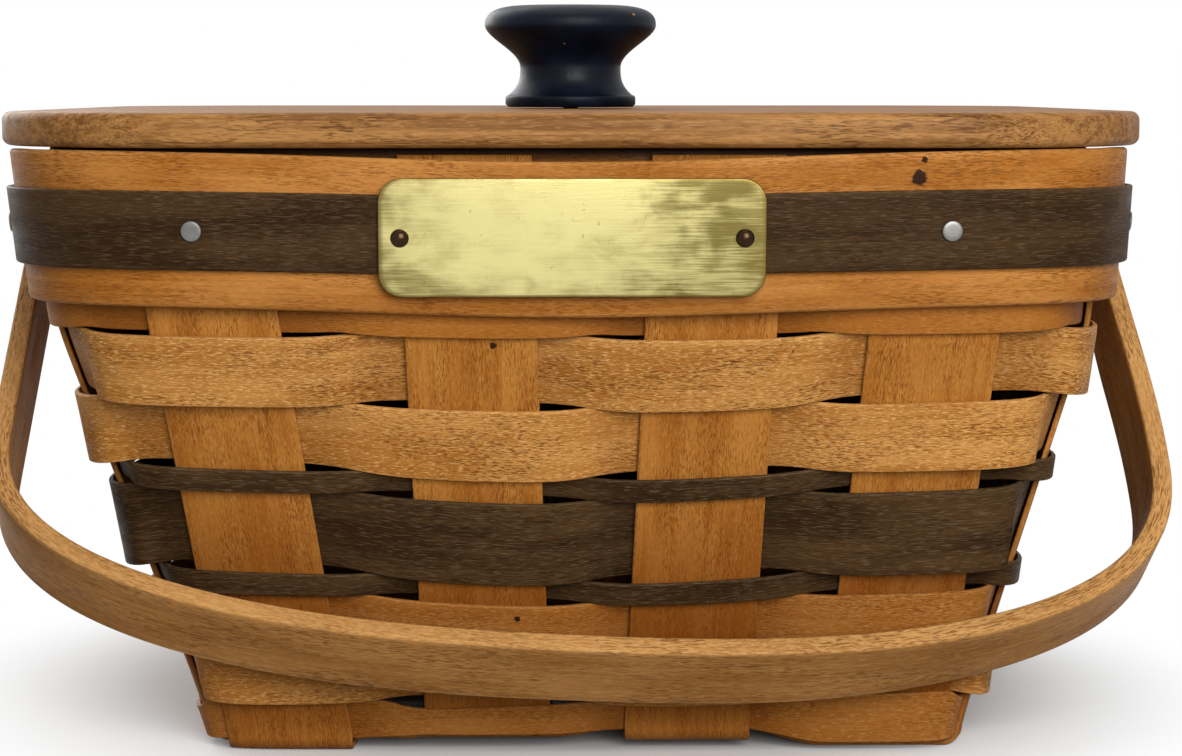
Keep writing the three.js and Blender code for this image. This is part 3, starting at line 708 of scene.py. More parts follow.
@dataclass(frozen=True)
class PaintFinish:
    """Satin paint on turned wood, with small chips down to the wood.

    Args:
        name: Name of the material.
        coat: Colour of the paint.
        worn: Colour of thin paint.
        bare: Colour of the wood in a chip.
        roughness: Roughness of the paint.
        roughness_gain: How much rougher thin paint is.
        specular: Strength of its reflections.
        chip_radius: Radius of a chip, in cells.
        chip_share: Share of the cells that hold a chip.
        chip_sink: How deep a chip is, in depths of the grain.
        patch_size: Size of the patches of thin paint along each axis, and of the cells of the chips.
        grain_size: Size of the grain that shows through.
        relief: Depth of the grain and the chips.
    """

    name: str
    coat: Colour
    worn: Colour
    bare: Colour
    roughness: float = 0.36
    roughness_gain: float = 0.16
    specular: float = 0.12
    chip_radius: float = 0.07
    chip_share: float = 0.22
    chip_sink: float = 1.5
    patch_size: Place = (7.0, 7.0, 5.0)
    grain_size: Place = (0.9, 0.9, 5.0)
    relief: float = 0.05

    def material(self) -> bpy.types.Material:
        """Builds the material's nodes.

        Returns:
            bpy.types.Material: The material.
        """
        graph = Graph(self.name, on_grain=False)
        cloud = graph.noise(*self.patch_size, detail=3.0)
        colour = graph.blend(graph.span(cloud, 0.35, 0.7), self.coat, self.worn)
        chips = graph.dots(*self.patch_size, radius=self.chip_radius, share=self.chip_share)
        colour = graph.blend(chips, colour, self.bare)
        grain = graph.noise(*self.grain_size, offset=4.4, detail=3.0)
        rough = self.roughness + self.roughness_gain
        graph.put(base_color=colour, specular_ior_level=self.specular)
        graph.put(roughness=graph.span(cloud, 0.2, 0.8, self.roughness, rough))
        sunk = graph.sum("MULTIPLY", chips, self.chip_sink)
        graph.bump(graph.sum("SUBTRACT", grain, sunk), self.relief)
        return graph.material


HONEY = WoodFinish(
    "honey_splint",
    light=srgb(196, 140, 74),
    deep=srgb(168, 110, 46),
    # Dark colour: the rows' own tone, and painted shade.
    dark=srgb(104, 48, 2),
    fleck=srgb(102, 54, 10),
    pale=srgb(236, 188, 120),
    knots=((-10.5, -83.0, 28.1, 0.7),),
)
AMBER = WoodFinish(
    "amber_upright",
    light=srgb(186, 124, 54),
    deep=srgb(160, 98, 34),
    # Dark colour: the uprights' own tone, and the painted shade near the handle.
    dark=srgb(106, 46, 0),
    fleck=srgb(108, 56, 10),
    pale=srgb(214, 160, 90),
    # Near-black warm colour: the painted shade on the upright tops.
    warm=srgb(22, 11, 4),
    fleck_share=0.7,
    glint_share=0.3,
    knots=((-14.6, -100.2, 81.9, 0.8),),
)
BAND = WoodFinish(
    "amber_band",
    light=srgb(184, 122, 58),
    deep=srgb(156, 94, 30),
    # Dark colour: the painted shade on the bands' lower edges.
    dark=srgb(98, 46, 4),
    fleck=srgb(102, 54, 12),
    pale=srgb(210, 158, 92),
    # Near-black warm colour: the painted shade on the inner band's top.
    warm=srgb(22, 11, 4),
    fleck_length=1.7,
    fleck_share=0.65,
    glint_share=0.22,
    knots=((62.6, -108.3, 112.9, 1.7), (63.5, -108.6, 116.2, 0.7)),
)
WALNUT = WoodFinish(
    "walnut_splint",
    light=srgb(80, 57, 33),
    deep=srgb(52, 34, 16),
    # Dark colour: the stain's own deeper tone, and painted shade behind the uprights and on the strip's
    # lower edge.
    dark=srgb(30, 17, 5),
    fleck=srgb(26, 15, 5),
    pale=srgb(128, 107, 79),
    warm=srgb(70, 42, 16),
    fleck_length=2.4,
    fleck_width=0.22,
    fleck_share=0.6,
    glint_share=0.34,
    rub=0.25,
    specular=0.05,
)
BENT = WoodFinish(
    "bent_handle",
    light=srgb(184, 131, 73),
    deep=srgb(156, 105, 51),
    dark=srgb(104, 60, 20),
    fleck=srgb(104, 62, 22),
    pale=srgb(214, 166, 104),
    fleck_length=2.4,
    fleck_width=0.26,
    fleck_share=0.75,
    glint_share=0.3,
    rub=0.45,
)
BOARD = WoodFinish(
    "lid_board",
    light=srgb(164, 116, 64),
    deep=srgb(118, 76, 34),
    dark=srgb(88, 52, 20),
    fleck=srgb(74, 42, 15),
    pale=srgb(192, 146, 90),
    fleck_length=2.6,
    fleck_width=0.26,
    fleck_share=0.75,
    glint_share=0.3,
    streak_share=0.6,
    coat=0.06,
    coat_roughness=0.3,
    on_grain=False,
)
BRASS = MetalFinish(
    "brushed_brass",
    bright=srgb(224, 212, 145),
    dull=srgb(106, 94, 50),
    tarnish=0.5,
    brush_length=8.0,
    stain=srgb(104, 86, 42),
    # Painted highlight on the plate's upper middle, where the brass is brightest.
    highlight_place=(-10.0, -108.0, 104.0),
    highlight_size=(41.0, 300.0, 24.0),
)
BRONZE = MetalFinish(
    "dark_bronze",
    bright=srgb(54, 41, 28),
    dull=srgb(34, 26, 18),
    stain=srgb(20, 15, 10),
    brush_length=2.0,
)
STEEL = MetalFinish(
    "nail_steel",
    bright=srgb(122, 121, 117),
    dull=srgb(82, 81, 78),
    stain=srgb(58, 55, 50),
    brush_length=1.2,
    tarnish=0.8,
    roughness=0.42,
)
NAVY = PaintFinish("navy_paint", coat=srgb(3, 8, 18), worn=srgb(9, 16, 30), bare=srgb(160, 118, 68))


# Wall


@dataclass(frozen=True)
class Wall:
    """The middle surface of the woven wall, in millimetres.

    In plan it is a superellipse |x|^p + |y|^p = half^p, nearly square at the base and rounder at the rim.
    """

    base_half: float = 73.4
    shoulder_half: float = 100.4
    rim_half: float = 103.6
    shoulder_height: float = 84.0
    shoulder_blend: float = 2.6
    rim_height: float = 118.0
    trim_height: float = 102.3
    base_roundness: float = 0.035
    rim_roundness: float = 0.15
    lean: float = 3.0
    lean_back: float = 2.0
    fine_steps: int = 6000

    def half(self, z: Array | float) -> Array | float:
        """Half-width at a height: two straight slopes joined by a hyperbola at the shoulder.

        Args:
            z: Heights.

        Returns:
            Array | float: Half-width at each height.
        """
        rise = z - self.shoulder_height
        flare = (self.shoulder_half - self.base_half) / self.shoulder_height
        top = (self.rim_half - self.shoulder_half) / (self.rim_height - self.shoulder_height)
        bend = (top - flare) / 2 * np.hypot(rise, self.shoulder_blend)
        return self.shoulder_half + (flare + top) / 2 * rise + bend

    def slope(self, z: float) -> float:
        """Slope of the wall out of the upright at a height."""
        return float(self.half(z + 0.5) - self.half(z - 0.5))

    def power(self, z: Array | float) -> Array | float:
        """Power of the superellipse at a height."""
        rise = np.sqrt(np.maximum(z, 0.0) / self.rim_height)
        return 1.0 / lerp(self.base_roundness, self.rim_roundness, rise)

    def shift(self, z: Array | float) -> tuple[Array | float, Array | float]:
        """How far the hand-woven wall stands to the right and to the back of the rim at a height."""
        share = 1.0 - z / self.trim_height
        return self.lean * share, self.lean_back * share

    def point(self, angle: Array, z: Array | float, out: Array | float) -> Array:
        """Points at plan angles and heights, moved out level from the middle surface.

        Args:
            angle: Plan angles, anticlockwise from +X.
            z: Heights.
            out: Distances out along the level normal (|c|^(p-1), |s|^(p-1)).

        Returns:
            Array: Points, with the three coordinates on the last axis.
        """
        angle, z, out = np.broadcast_arrays(angle, z, out)
        power, cosine, sine = self.power(z), np.cos(angle), np.sin(angle)
        radius = self.half(z) / (np.abs(cosine) ** power + np.abs(sine) ** power) ** (1 / power)
        normal_x = np.sign(cosine) * np.abs(cosine) ** (power - 1)
        normal_y = np.sign(sine) * np.abs(sine) ** (power - 1)
        size = np.hypot(normal_x, normal_y)
        right, back = self.shift(z)
        x = radius * cosine + right + out * normal_x / size
        y = radius * sine + back + out * normal_y / size
        return np.stack([x, y, z], axis=-1)

    def depth(self, along: Array | float, z: Array | float) -> Array | float:
        """Distance from the axis to a side's wall at a place along that side."""
        half, power = self.half(z), self.power(z)
        return half * (1.0 - np.minimum(np.abs(along / half), 1.0) ** power) ** (1.0 / power)

    def side_angle(self, side: int, along: Array | float, z: Array | float) -> Array | float:
        """Plan angle of a place along a side, which runs anticlockwise."""
        return (side - 1) * QUARTER + np.arctan2(along, self.depth(along, z))

    def side_point(self, side: int, out: Array, along: Array, z: Array) -> Array:
        """Points at a distance from the axis and a place along a side.

        Args:
            side: Number of the side.
            out: Distances from the axis.
            along: Places along the side, which runs anticlockwise.
            z: Heights.

        Returns:
            Array: Points, with the three coordinates on the last axis.
        """
        out, along, z = np.broadcast_arrays(out, along, z)
        cosine, sine = math.cos((side - 1) * QUARTER), math.sin((side - 1) * QUARTER)
        right, back = self.shift(z)
        x = out * cosine - along * sine + right
        y = out * sine + along * cosine + back
        return np.stack([x, y, z], axis=-1)

    def lengths(self, angles: Array, z: float) -> Array:
        """Distance along the wall at a height, from the first of a run of plan angles to each of them.

        Args:
            angles: Plan angles, rising.
            z: Height.

        Returns:
            Array: Distance at each angle.
        """
        points = self.point(angles, z, 0.0)
        steps = np.linalg.norm(np.diff(points, axis=0), axis=-1)
        return np.concatenate([[0.0], np.cumsum(steps)])

    def between(self, marks: Array, places: Array, z: float) -> Array:
        """Plan angles of places counted from mark to mark, spaced evenly along the wall.

        Args:
            marks: Plan angles of the marks, rising; the last is the first plus a full turn.
            places: Places, where 1.5 lies half way from the second mark to the third.
            z: Height.

        Returns:
            Array: Plan angle of each place.
        """
        fine = np.linspace(marks[0], marks[-1], self.fine_steps + 1)
        lengths = self.lengths(fine, z)
        at_marks = np.interp(marks, fine, lengths)
        return np.interp(np.interp(places, np.arange(marks.size), at_marks), lengths, fine)


WALL = Wall()


# Uprights


@dataclass
class Uprights:
    """Eight wide splints that run down one wall, across the base and up the opposite wall."""

    per_side: int = 4
    width: float = 24.4
    thickness: float = 1.1
    arris: float = 0.4
    top_trim: float = 1.0
    base_pitch: float = 38.4
    rim_pitch: float = 46.4
    middle_drift: float = 4.0
    bend_radius: float = 3.0
    foot_lift: float = 1.8
    base_weave: float = 0.7
    turn_room: float = 0.6
    wall_steps: int = 70
    bend_steps: int = 8
    base_steps: int = 150
    base_reach: float = 66.0
    columns: int = 13
    tone: float = 0.10
    # Painted shade: the uprights darken around a fifth of the rim's height, where the handle hangs in front
    # of them.
    handle_shade: float = 0.6
    handle_shade_height: float = 0.2
    handle_shade_run: float = 0.33
    # Painted shade: the upright tops between the bands, under the lid, turn near black.
    top_shade: float = 0.3
    shade_from: float = 0.93
    shade_run: float = 0.05
    grain_step: tuple[float, float] = (410.0, 57.0)

    def place(self, side: int, index: int, z: Array | float) -> Array | float:
        """Where an upright's centre line stands along its side at a height.

        Args:
            side: Side that the upright starts on.
            index: Number of the upright on that side, from 0.
            z: Heights.

        Returns:
            Array | float: Place along the side at each height.
        """
        rise = z / WALL.rim_height
        regular = (index - (self.per_side - 1) / 2) * lerp(self.base_pitch, self.rim_pitch, rise)
        inner = 0 < index < self.per_side - 1
        return regular + (self.middle_drift * rise if side == Side.FRONT and inner else 0.0)

    def centres(self, z: float) -> Array:
        """Plan angles of all the centre lines at a height, anticlockwise from the front left one.

        Args:
            z: Height.

        Returns:
            Array: One angle for each end of each upright.
        """
        return np.array([
            WALL.side_angle(side, self.place(side, index, z), z)
            for side in Side
            for index in range(self.per_side)
        ])

    def foot_share(self, along: Array | float) -> Array | float:
        """Share of a corner foot at a place along a side: 1 under the outermost upright, 0 further in.

        Args:
            along: Places along the side.

        Returns:
            Array | float: Share at each place.
        """
        last = (self.per_side - 1) / 2 * self.base_pitch
        foot = last - self.width / 2 - self.turn_room
        arch = last - self.base_pitch + self.width / 2 + self.turn_room
        return np.clip((np.abs(along) - arch) / (foot - arch), 0.0, 1.0)

    def level(self, across: float, along: Array | float) -> Array | float:
        """Height of the base's middle surface, which stands on its corners and arches between them."""
        lift = self.foot_lift * (1.0 - self.foot_share(across) * self.foot_share(along))
        return self.thickness / 2 + self.base_weave + lift

    def crossing(self, side: int, index: int, number: int) -> int:
        """+1 where an upright lies above the one that it crosses in the base, and -1 below it.

        Args:
            side: Side that the upright starts on.
            index: Number of the upright on that side, from 0.
            number: Number of the crossing along it, from 0.

        Returns:
            int: +1 or -1.
        """
        other = number if side == Side.FRONT else self.per_side - 1 - number
        above = -1 if (index + other) % 2 == 0 else 1
        return above if side == Side.FRONT else -above

    def wave(self, side: int, index: int, out: Array) -> Array:
        """Over-and-under wave across the base: held at each crossing, a half cosine between two.

        Args:
            side: Side that the upright starts on.
            index: Number of the upright on that side, from 0.
            out: Distances along the upright from the middle of the base, falling.

        Returns:
            Array: Wave from -1 to 1 at each distance.
        """
        reach = (self.per_side - 1) / 2 * self.base_pitch
        place = np.clip((reach - out) / self.base_pitch, 0.0, self.per_side - 1.0)
        number = np.minimum(np.floor(place), self.per_side - 2)
        held = (self.width / 2 + self.turn_room) / self.base_pitch
        share = np.clip((place - number - held) / (1.0 - 2.0 * held), 0.0, 1.0)
        first = self.crossing(side, index, 0)
        return first * np.where(number % 2 == 0, 1.0, -1.0) * np.cos(np.pi * share)

    def wall_rings(self, side: int, index: int, level: float, profile: Profile, flip: int) -> Array:
        """Rings from the rim down a wall and round the bend into the base.

        Args:
            side: Side of the wall.
            index: Number of the upright on that side.
            level: Height of its middle where it enters the base.
            profile: Outline across the splint.
            flip: 1, or -1 where the run is later turned round.

        Returns:
            Array: Rings of points.
        """
        across, depth = profile.across * flip, profile.depth
        top = level + self.bend_radius
        z = np.linspace(WALL.rim_height - self.top_trim, top, self.wall_steps)[:, None]
        angle = WALL.side_angle(side, self.place(side, index, z) + across, z)
        on_wall = WALL.point(angle, z, depth)
        turn = np.linspace(0.0, QUARTER, self.bend_steps + 1)[1:, None]
        radius = self.bend_radius + depth
        along = self.place(side, index, top) + across
        out = WALL.depth(along, top) - self.bend_radius + radius * np.cos(turn)
        on_bend = WALL.side_point(side, out, along, top - radius * np.sin(turn))
        return np.concatenate([on_wall, on_bend])

    def surface(self, side: int, index: int) -> Surface:
        """One upright, from the rim of one wall through the base to the rim of the opposite wall.

        It follows the wall down, turns in a quarter circle and crosses the base on its over-and-under wave.

        Args:
            side: Side that the upright starts on.
            index: Number of the upright on that side, from 0.

        Returns:
            Surface: The upright.
        """
        profile = Profile.strip(self.width, self.thickness, self.arris, self.columns)
        far = self.per_side - 1 - index
        along = self.place(side, index, 0.0)
        out = np.linspace(self.base_reach, -self.base_reach, self.base_steps)[:, None]
        level = self.level(along, out) + self.wave(side, index, out) * self.base_weave
        base = WALL.side_point(side, out, along + profile.across, level - profile.depth)
        near = self.wall_rings(side, index, float(level[0, 0]), profile, 1)
        beyond = self.wall_rings(side + 2, far, float(level[-1, 0]), profile, -1)
        rings = np.concatenate([near, base, beyond[::-1]])
        height = rings[..., 2] / WALL.rim_height
        # Painted shade around the handle's height, laid over the uprights' own tone.
        low = np.abs(height - self.handle_shade_height) / self.handle_shade_run
        number = side * self.per_side + index
        return Surface(
            rings,
            around=profile.run,
            rim=profile.rim,
            tone=self.tone + self.handle_shade * smooth(1.0 - low),
            # Painted shade on the tops of the uprights.
            warm=self.top_shade * smooth((height - self.shade_from) / self.shade_run),
            shift=tuple(number * step for step in self.grain_step),
        )

    def build(self, finish: bpy.types.Material) -> None:
        """Builds the eight uprights.

        Args:
            finish: Their wood.
        """
        for side, run in ((Side.FRONT, "front_to_back"), (Side.RIGHT, "side_to_side")):
            for index in range(self.per_side):
                node = f"upright_{run}_{index + 1}"
                surface = self.surface(side, index)
                add_piece(f"splint_{node}", surface, finish, Body.BASKET, Slot.HONEY, node)


# Weaving


@dataclass(frozen=True)
class Row:
    """One row of weaving.

    Args:
        number: Number of the row, from 1 at the floor.
        bottom: Height of its lower edge.
        top: Height of its upper edge.
        dark: True where it is stained dark.
    """

    number: int
    bottom: float
    top: float
    dark: bool


@dataclass
class Weaving:
    """Ten hoops of splint that pass in front of one upright and behind the next."""

    uprights: Uprights
    first_bottom: float = 4.6
    low_heights: tuple[float, ...] = (5.8, 10.3, 10.3)
    stained_heights: tuple[float, ...] = (4.5, 16.3, 4.5)
    wall_rows: int = 4
    top_drop: float = 7.0
    thickness: float = 0.95
    arris: float = 0.25
    swing: float = 1.55
    flatness: float = 0.5
    corner_flatness: float = 0.35
    corner_rise: float = 3.0
    rise_bias: float = 0.65
    row_gap: float = 0.24
    low_sag: float = 0.038
    high_sag: float = 0.015
    back_draw: float = 1.3
    foot_drop: float = 2.3
    foot_swing: float = 1.2
    foot_rise: float = 0.3
    foot_spread: float = 2.4
    back_drop: float = 1.5
    held_row: int = 9
    held_drop: float = 0.9
    corner_flare: float = 0.65
    flare_power: float = 6.0
    loose_from: float = -0.4
    loose_run: float = 0.8
    loose_front: float = 0.5
    foot_from: float = -0.97
    foot_run: float = 0.15
    steps: int = 22
    columns: int = 11
    unevenness: float = 0.12
    upper_seed: int = 40
    # Darkening of each row: its own tone, and painted shade on rows 1 and 3 around the handle.
    tones_and_shade: tuple[float, ...] = (0.34, 0.2, 0.36, 0.2, 0.1, 0.1, 0.0, 0.06, 0.2, 0.1)
    # Warmths turn rows redder and darker; on rows 1 and 3 this is part of the same painted shade.
    warmths: tuple[float, ...] = (0.5, 0.1, 0.4, 0.0, 0.0, 0.0, 0.1, 0.0, 0.7, 0.6)
    # Painted shade where a row passes behind an upright.
    behind_shade: float = 0.3
    hidden_from: float = 0.2
    hidden_run: float = 1.2
    grain_step: tuple[float, float] = (230.0, 31.0)

    def rows(self) -> list[Row]:
        """The rows from the floor up: the natural ones share the wall up to the rim.

        Returns:
            list[Row]: The ten rows.
        """
        low, stained = list(self.low_heights), list(self.stained_heights)
        start = self.first_bottom + sum(low) + sum(stained)
        height = (WALL.rim_height - self.top_drop - start) / self.wall_rows
        heights = np.array(low + stained + [height] * self.wall_rows)
        tops = self.first_bottom + np.cumsum(heights)
        dark = range(len(low), len(low) + len(stained))
        return [
            Row(n + 1, float(top - height), float(top), n in dark)
            for n, (top, height) in enumerate(zip(tops, heights))
        ]

    def start(self, row: Row) -> int:
        """Number of the upright at the back that a row begins behind, counted from the front left one."""
        return 2 * self.uprights.per_side + (1 if row.number % 2 == 0 else 2)

    def marks(self, row: Row, z: float) -> Array:
        """Plan angles of the uprights at a height, from the one that the row begins behind.

        Args:
            row: The row.
            z: Height.

        Returns:
            Array: The angles, rising, with the first once more after a full turn.
        """
        centres, start = self.uprights.centres(z), self.start(row)
        turned = np.concatenate([centres[start:], centres[:start] + TURN])
        return np.append(turned, turned[0] + TURN)

    def rise(self, angle: Array, z: float) -> Array:
        """Rise of an edge towards the corners: sin^2(pi h^b) sin^2(2 angle), at a share h of the rim."""
        height = (z / WALL.rim_height) ** self.rise_bias
        return self.corner_rise * (np.sin(np.pi * height) * np.sin(2.0 * angle)) ** 2

    def wave(self, row: Row, places: Array) -> Array:
        """Over-and-under wave, w = c / sqrt(c^2 + f^2 (1 - c^2)), with c a cosine of the place.

        Args:
            row: The row.
            places: Places counted from upright to upright.

        Returns:
            Array: Wave from -1 behind an upright to 1 in front of one.
        """
        cosine = -np.cos(np.pi * places)
        last = self.uprights.per_side - 1
        at_corner = (np.floor(places) + self.start(row)) % self.uprights.per_side == last
        flatness = np.where(at_corner, self.corner_flatness, self.flatness)
        return cosine / np.sqrt(cosine**2 + flatness**2 * (1.0 - cosine**2))

    def surface(self, row: Row) -> Surface:
        """One row: a strip that waves in front of the uprights and behind them.

        It moves square to the leaning wall, so it sinks in front of an upright and rises behind one. Its
        edges spread at the back of the basket, which is woven tighter. Its lower edge is too long for the
        narrower wall below, so it stands off at the front corners, by a power of sin^2(2 angle).

        Args:
            row: The row.

        Returns:
            Surface: The row.
        """
        count = 4 * self.uprights.per_side
        places = np.arange(count * self.steps) / self.steps
        wave, turn = self.wave(row, places), places / count
        low_angle = WALL.between(self.marks(row, row.bottom), places, row.bottom)
        high_angle = WALL.between(self.marks(row, row.top), places, row.top)
        draw = self.back_draw * np.maximum(np.sin(low_angle), 0.0) * wave**2 - self.row_gap / 2
        height, swing = row.top - row.bottom, self.swing
        low = row.bottom + self.rise(low_angle, row.bottom) - self.low_sag * height * wave - draw
        high = row.top + self.rise(high_angle, row.top) - self.high_sag * height * wave + draw
        low += drift(turn, row.number, self.unevenness)
        high += drift(turn, row.number + self.upper_seed, self.unevenness)
        if row.number == self.held_row:
            low -= self.held_drop * smooth(-wave)
        if row.number == 1:
            low = self.foot(row, low_angle, wave)
            high -= (1.0 - self.foot_rise) * self.rise(high_angle, row.top)
            hand = np.sin(2.0 * high_angle)
            high -= self.foot_spread * smooth(wave) * hand * np.abs(hand)
            swing = self.foot_swing
        profile = Profile.strip(height, self.thickness, self.arris, self.columns)
        share = profile.across / height + 0.5
        angle = lerp(low_angle[:, None], high_angle[:, None], share)
        slope = WALL.slope((row.bottom + row.top) / 2)
        lean = math.atan(slope)
        out = (swing * wave)[:, None] + profile.depth
        z = lerp(low[:, None], high[:, None], share) - out * math.sin(lean)
        corner = np.sin(2.0 * low_angle) ** 2
        free = smooth((wave - self.loose_from) / self.loose_run)
        loose = free * smooth(self.loose_front - np.sin(low_angle))
        stand = self.corner_flare * slope * height * corner**self.flare_power * loose
        flare = stand[:, None] * (1.0 - share) * (1 < row.number < self.held_row)
        middle = WALL.lengths(np.append(low_angle, low_angle[0] + TURN), row.bottom)
        # Painted shade: the row darkens where it passes behind an upright.
        behind_upright = smooth((self.hidden_from - wave) / self.hidden_run)[:, None]
        return Surface(
            WALL.point(angle, z, out / math.cos(lean) + flare),
            hoop=True,
            along=middle,
            around=profile.run,
            rim=profile.rim,
            # Own tone plus painted shade, for the row and behind the uprights.
            tone=self.tones_and_shade[row.number - 1] + self.behind_shade * behind_upright,
            warm=self.warmths[row.number - 1],
            shift=tuple(row.number * step for step in self.grain_step),
        )

    def foot(self, row: Row, angle: Array, wave: Array) -> Array:
        """Lower edge of the row at the floor: it follows the base's arch, and drops where it isn't behind.

        Args:
            row: The row.
            angle: Plan angles along it.
            wave: Its over-and-under wave.

        Returns:
            Array: Height at each angle.
        """
        plan = np.abs(WALL.point(angle, row.bottom, 0.0)[:, :2] - WALL.shift(row.bottom))
        arch = self.uprights.foot_lift * (1.0 - self.uprights.foot_share(plan.min(axis=1)))
        drop = self.foot_drop + self.back_drop * np.maximum(np.sin(angle), 0.0)
        return row.bottom + arch - drop * smooth((wave - self.foot_from) / self.foot_run)

    def build(self, natural: bpy.types.Material, stained: bpy.types.Material) -> None:
        """Builds the ten rows.

        Args:
            natural: Wood of the natural rows.
            stained: Wood of the dark rows.
        """
        for row in self.rows():
            finish, slot = (stained, Slot.WALNUT) if row.dark else (natural, Slot.HONEY)
            node = f"weaver_row_{row.number:02d}"
            add_piece(f"splint_{node}", self.surface(row), finish, Body.BASKET, slot, node)


# Rim


@dataclass
class Rim:
    """The two bands that clamp the top of the wall, the dark strip round them, and the nails."""

    uprights: Uprights
    band_height: float = 28.6
    band_thickness: float = 2.4
    band_arris: float = 0.8
    band_face: float = 4.95
    outer_drop: float = -0.1
    outer_top_drop: float = 0.1
    outer_dip: float = 2.1
    strip_height: float = 14.4
    strip_dip: float = 1.3
    strip_thickness: float = 1.2
    strip_arris: float = 0.4
    strip_face: float = 6.45
    strip_tone: float = 0.3
    # Painted shade on the top of the inner band's outer face, which is hidden between the bands.
    hidden_top_shade: float = 0.95
    shade_from: float = 0.46
    nail_radius: float = 1.9
    nail_height: float = 0.47
    nail_roundness: float = 0.5
    nail_shank: float = 0.8
    # Painted shade on the lower edge of the bands and of the strip.
    lower_edge_shade: float = 0.30
    clearance: float = 0.3
    steps: int = 440
    unevenness: float = 0.08
    seeds_per_mm: int = 100
    grain_step: tuple[float, float] = (97.0, 31.0)

    def hoop(
        self,
        low: float,
        high: float,
        face: float,
        thickness: float,
        arris: float,
        dip: float = 0.0,
        tone: float = 0.0,
        hidden_shade: float = 0.0,
    ) -> Surface:
        """A band round the rim that dips between the corners by dip cos^2(2 angle).

        Args:
            low: Height of its lower edge at the corners.
            high: Height of its upper edge at the corners.
            face: Distance of its outer face from the wall's middle surface.
            thickness: Its thickness.
            arris: Radius of its rounded edges.
            dip: How far it dips in the middle of a side.
            tone: How dark it is.
            hidden_shade: How dark the top of its outer face is, a painted shade between the bands.

        Returns:
            Surface: The band, whose ends meet in the middle of the back.
        """
        marks = np.array([QUARTER, QUARTER + TURN])
        places = np.arange(self.steps) / self.steps
        middle = (low + high) / 2
        angle = WALL.between(marks, places, middle)[:, None]
        profile = Profile.strip(high - low, thickness, arris)
        share = profile.across / (high - low)
        drop = dip * np.cos(2.0 * angle) ** 2
        sway = drift(places, int(abs(face) * self.seeds_per_mm), self.unevenness)[:, None]
        z = middle - drop + sway + profile.across + sway * share
        rings = WALL.point(angle, z, face - thickness / 2 + profile.depth)
        along = WALL.lengths(np.append(angle[:, 0], marks[-1]), middle)
        return Surface(
            rings,
            hoop=True,
            along=along,
            around=profile.run,
            rim=profile.rim,
            # Painted shade along the lower edge, added to the band's own tone.
            tone=tone + self.lower_edge_shade * profile.rim * (profile.across < 0.0),
            # Painted shade on the top of the outer face.
            warm=hidden_shade * (profile.depth > 0.0) * (share > self.shade_from),
            shift=tuple(face * step for step in self.grain_step),
        )

    def tilt(self) -> float:
        """Angle by which the rim leans out of the upright."""
        rise = WALL.rim_height - WALL.shoulder_height
        return math.atan((WALL.rim_half - WALL.shoulder_half) / rise)

    def seat(self, angle: float, out: float, tilt: float) -> tuple[Array, Array]:
        """Point and direction of a fastener that stands square on the strip's middle at a plan angle.

        Args:
            angle: Plan angle.
            out: Distance of the point from the wall's middle surface.
            tilt: Angle by which the fastener leans down.

        Returns:
            tuple[Array, Array]: The point and the direction.
        """
        height = WALL.trim_height + self.strip_dip * math.sin(2.0 * angle) ** 2
        face = WALL.point(np.array(angle), height, self.strip_face)
        level = WALL.point(np.array(angle), height, self.strip_face + 1.0) - face
        direction = level * math.cos(tilt) - np.array([0.0, 0.0, math.sin(tilt)])
        return face + direction * (out - self.strip_face) * math.cos(tilt), direction

    def build(self, band: bpy.types.Material, strip: bpy.types.Material, steel: bpy.types.Material) -> None:
        """Builds the bands, the strip and the eight nails.

        Args:
            band: Wood of the bands.
            strip: Wood of the strip.
            steel: Metal of the nails.
        """
        top, bottom = WALL.rim_height, WALL.rim_height - self.band_height
        thick, arris = self.band_thickness, self.band_arris
        inner = self.hoop(bottom, top, thick - self.band_face, thick, arris, hidden_shade=self.hidden_top_shade)
        low, high = bottom - self.outer_drop, top - self.outer_top_drop
        outer = self.hoop(low, high, self.band_face, thick, arris, self.outer_dip)
        half = self.strip_height / 2
        middle, dip = WALL.trim_height + self.strip_dip, self.strip_dip
        thick, arris = self.strip_thickness, self.strip_arris
        dark = self.hoop(middle - half, middle + half, self.strip_face, thick, arris, dip, self.strip_tone)
        add_piece("inner_band", inner, band, Body.BASKET, Slot.HONEY, "rim_band_inner")
        add_piece("outer_band", outer, band, Body.BASKET, Slot.HONEY, "rim_band_outer")
        add_piece("dark_strip", dark, strip, Body.BASKET, Slot.WALNUT, "rim_trim_strip")
        length = (self.strip_face + self.band_face) * math.cos(self.tilt())
        profile = shank_and_head(
            length, self.nail_shank, self.nail_radius, self.nail_height, self.clearance, self.nail_roundness
        )
        for side in Side:
            for index, hand in ((0, "left"), (self.uprights.per_side - 1, "right")):
                place = self.uprights.place(side, index, WALL.trim_height)
                angle = float(WALL.side_angle(side, place, WALL.trim_height))
                node = f"rim_nail_{side.name.lower()}_{hand}"
                nail = turned(profile, *self.seat(angle, self.strip_face, self.tilt()))
                add_piece(f"steel_{node}", nail, steel, Body.BASKET, Slot.STEEL, node)


def dome(radius: float, height: float, base: float, roundness: float = 1.0, steps: int = 10) -> Array:
    """Radius and height of a domed head from its rim to its top.

    It is a quarter ellipse whose cosine and sine are raised to the roundness: below 1 the head is flatter.

    Args:
        radius: Radius of the head.
        height: Its height.
        base: Height of its rim.
        roundness: Power of the cosine and the sine.
        steps: Steps from the rim to the top.

    Returns:
        Array: Radius and height of each point.
    """
    turn = np.linspace(0.0, QUARTER, steps + 1)
    across = radius * np.maximum(np.cos(turn), 0.0) ** roundness
    return np.stack([np.maximum(across, TIP), base + height * np.sin(turn) ** roundness], axis=-1)


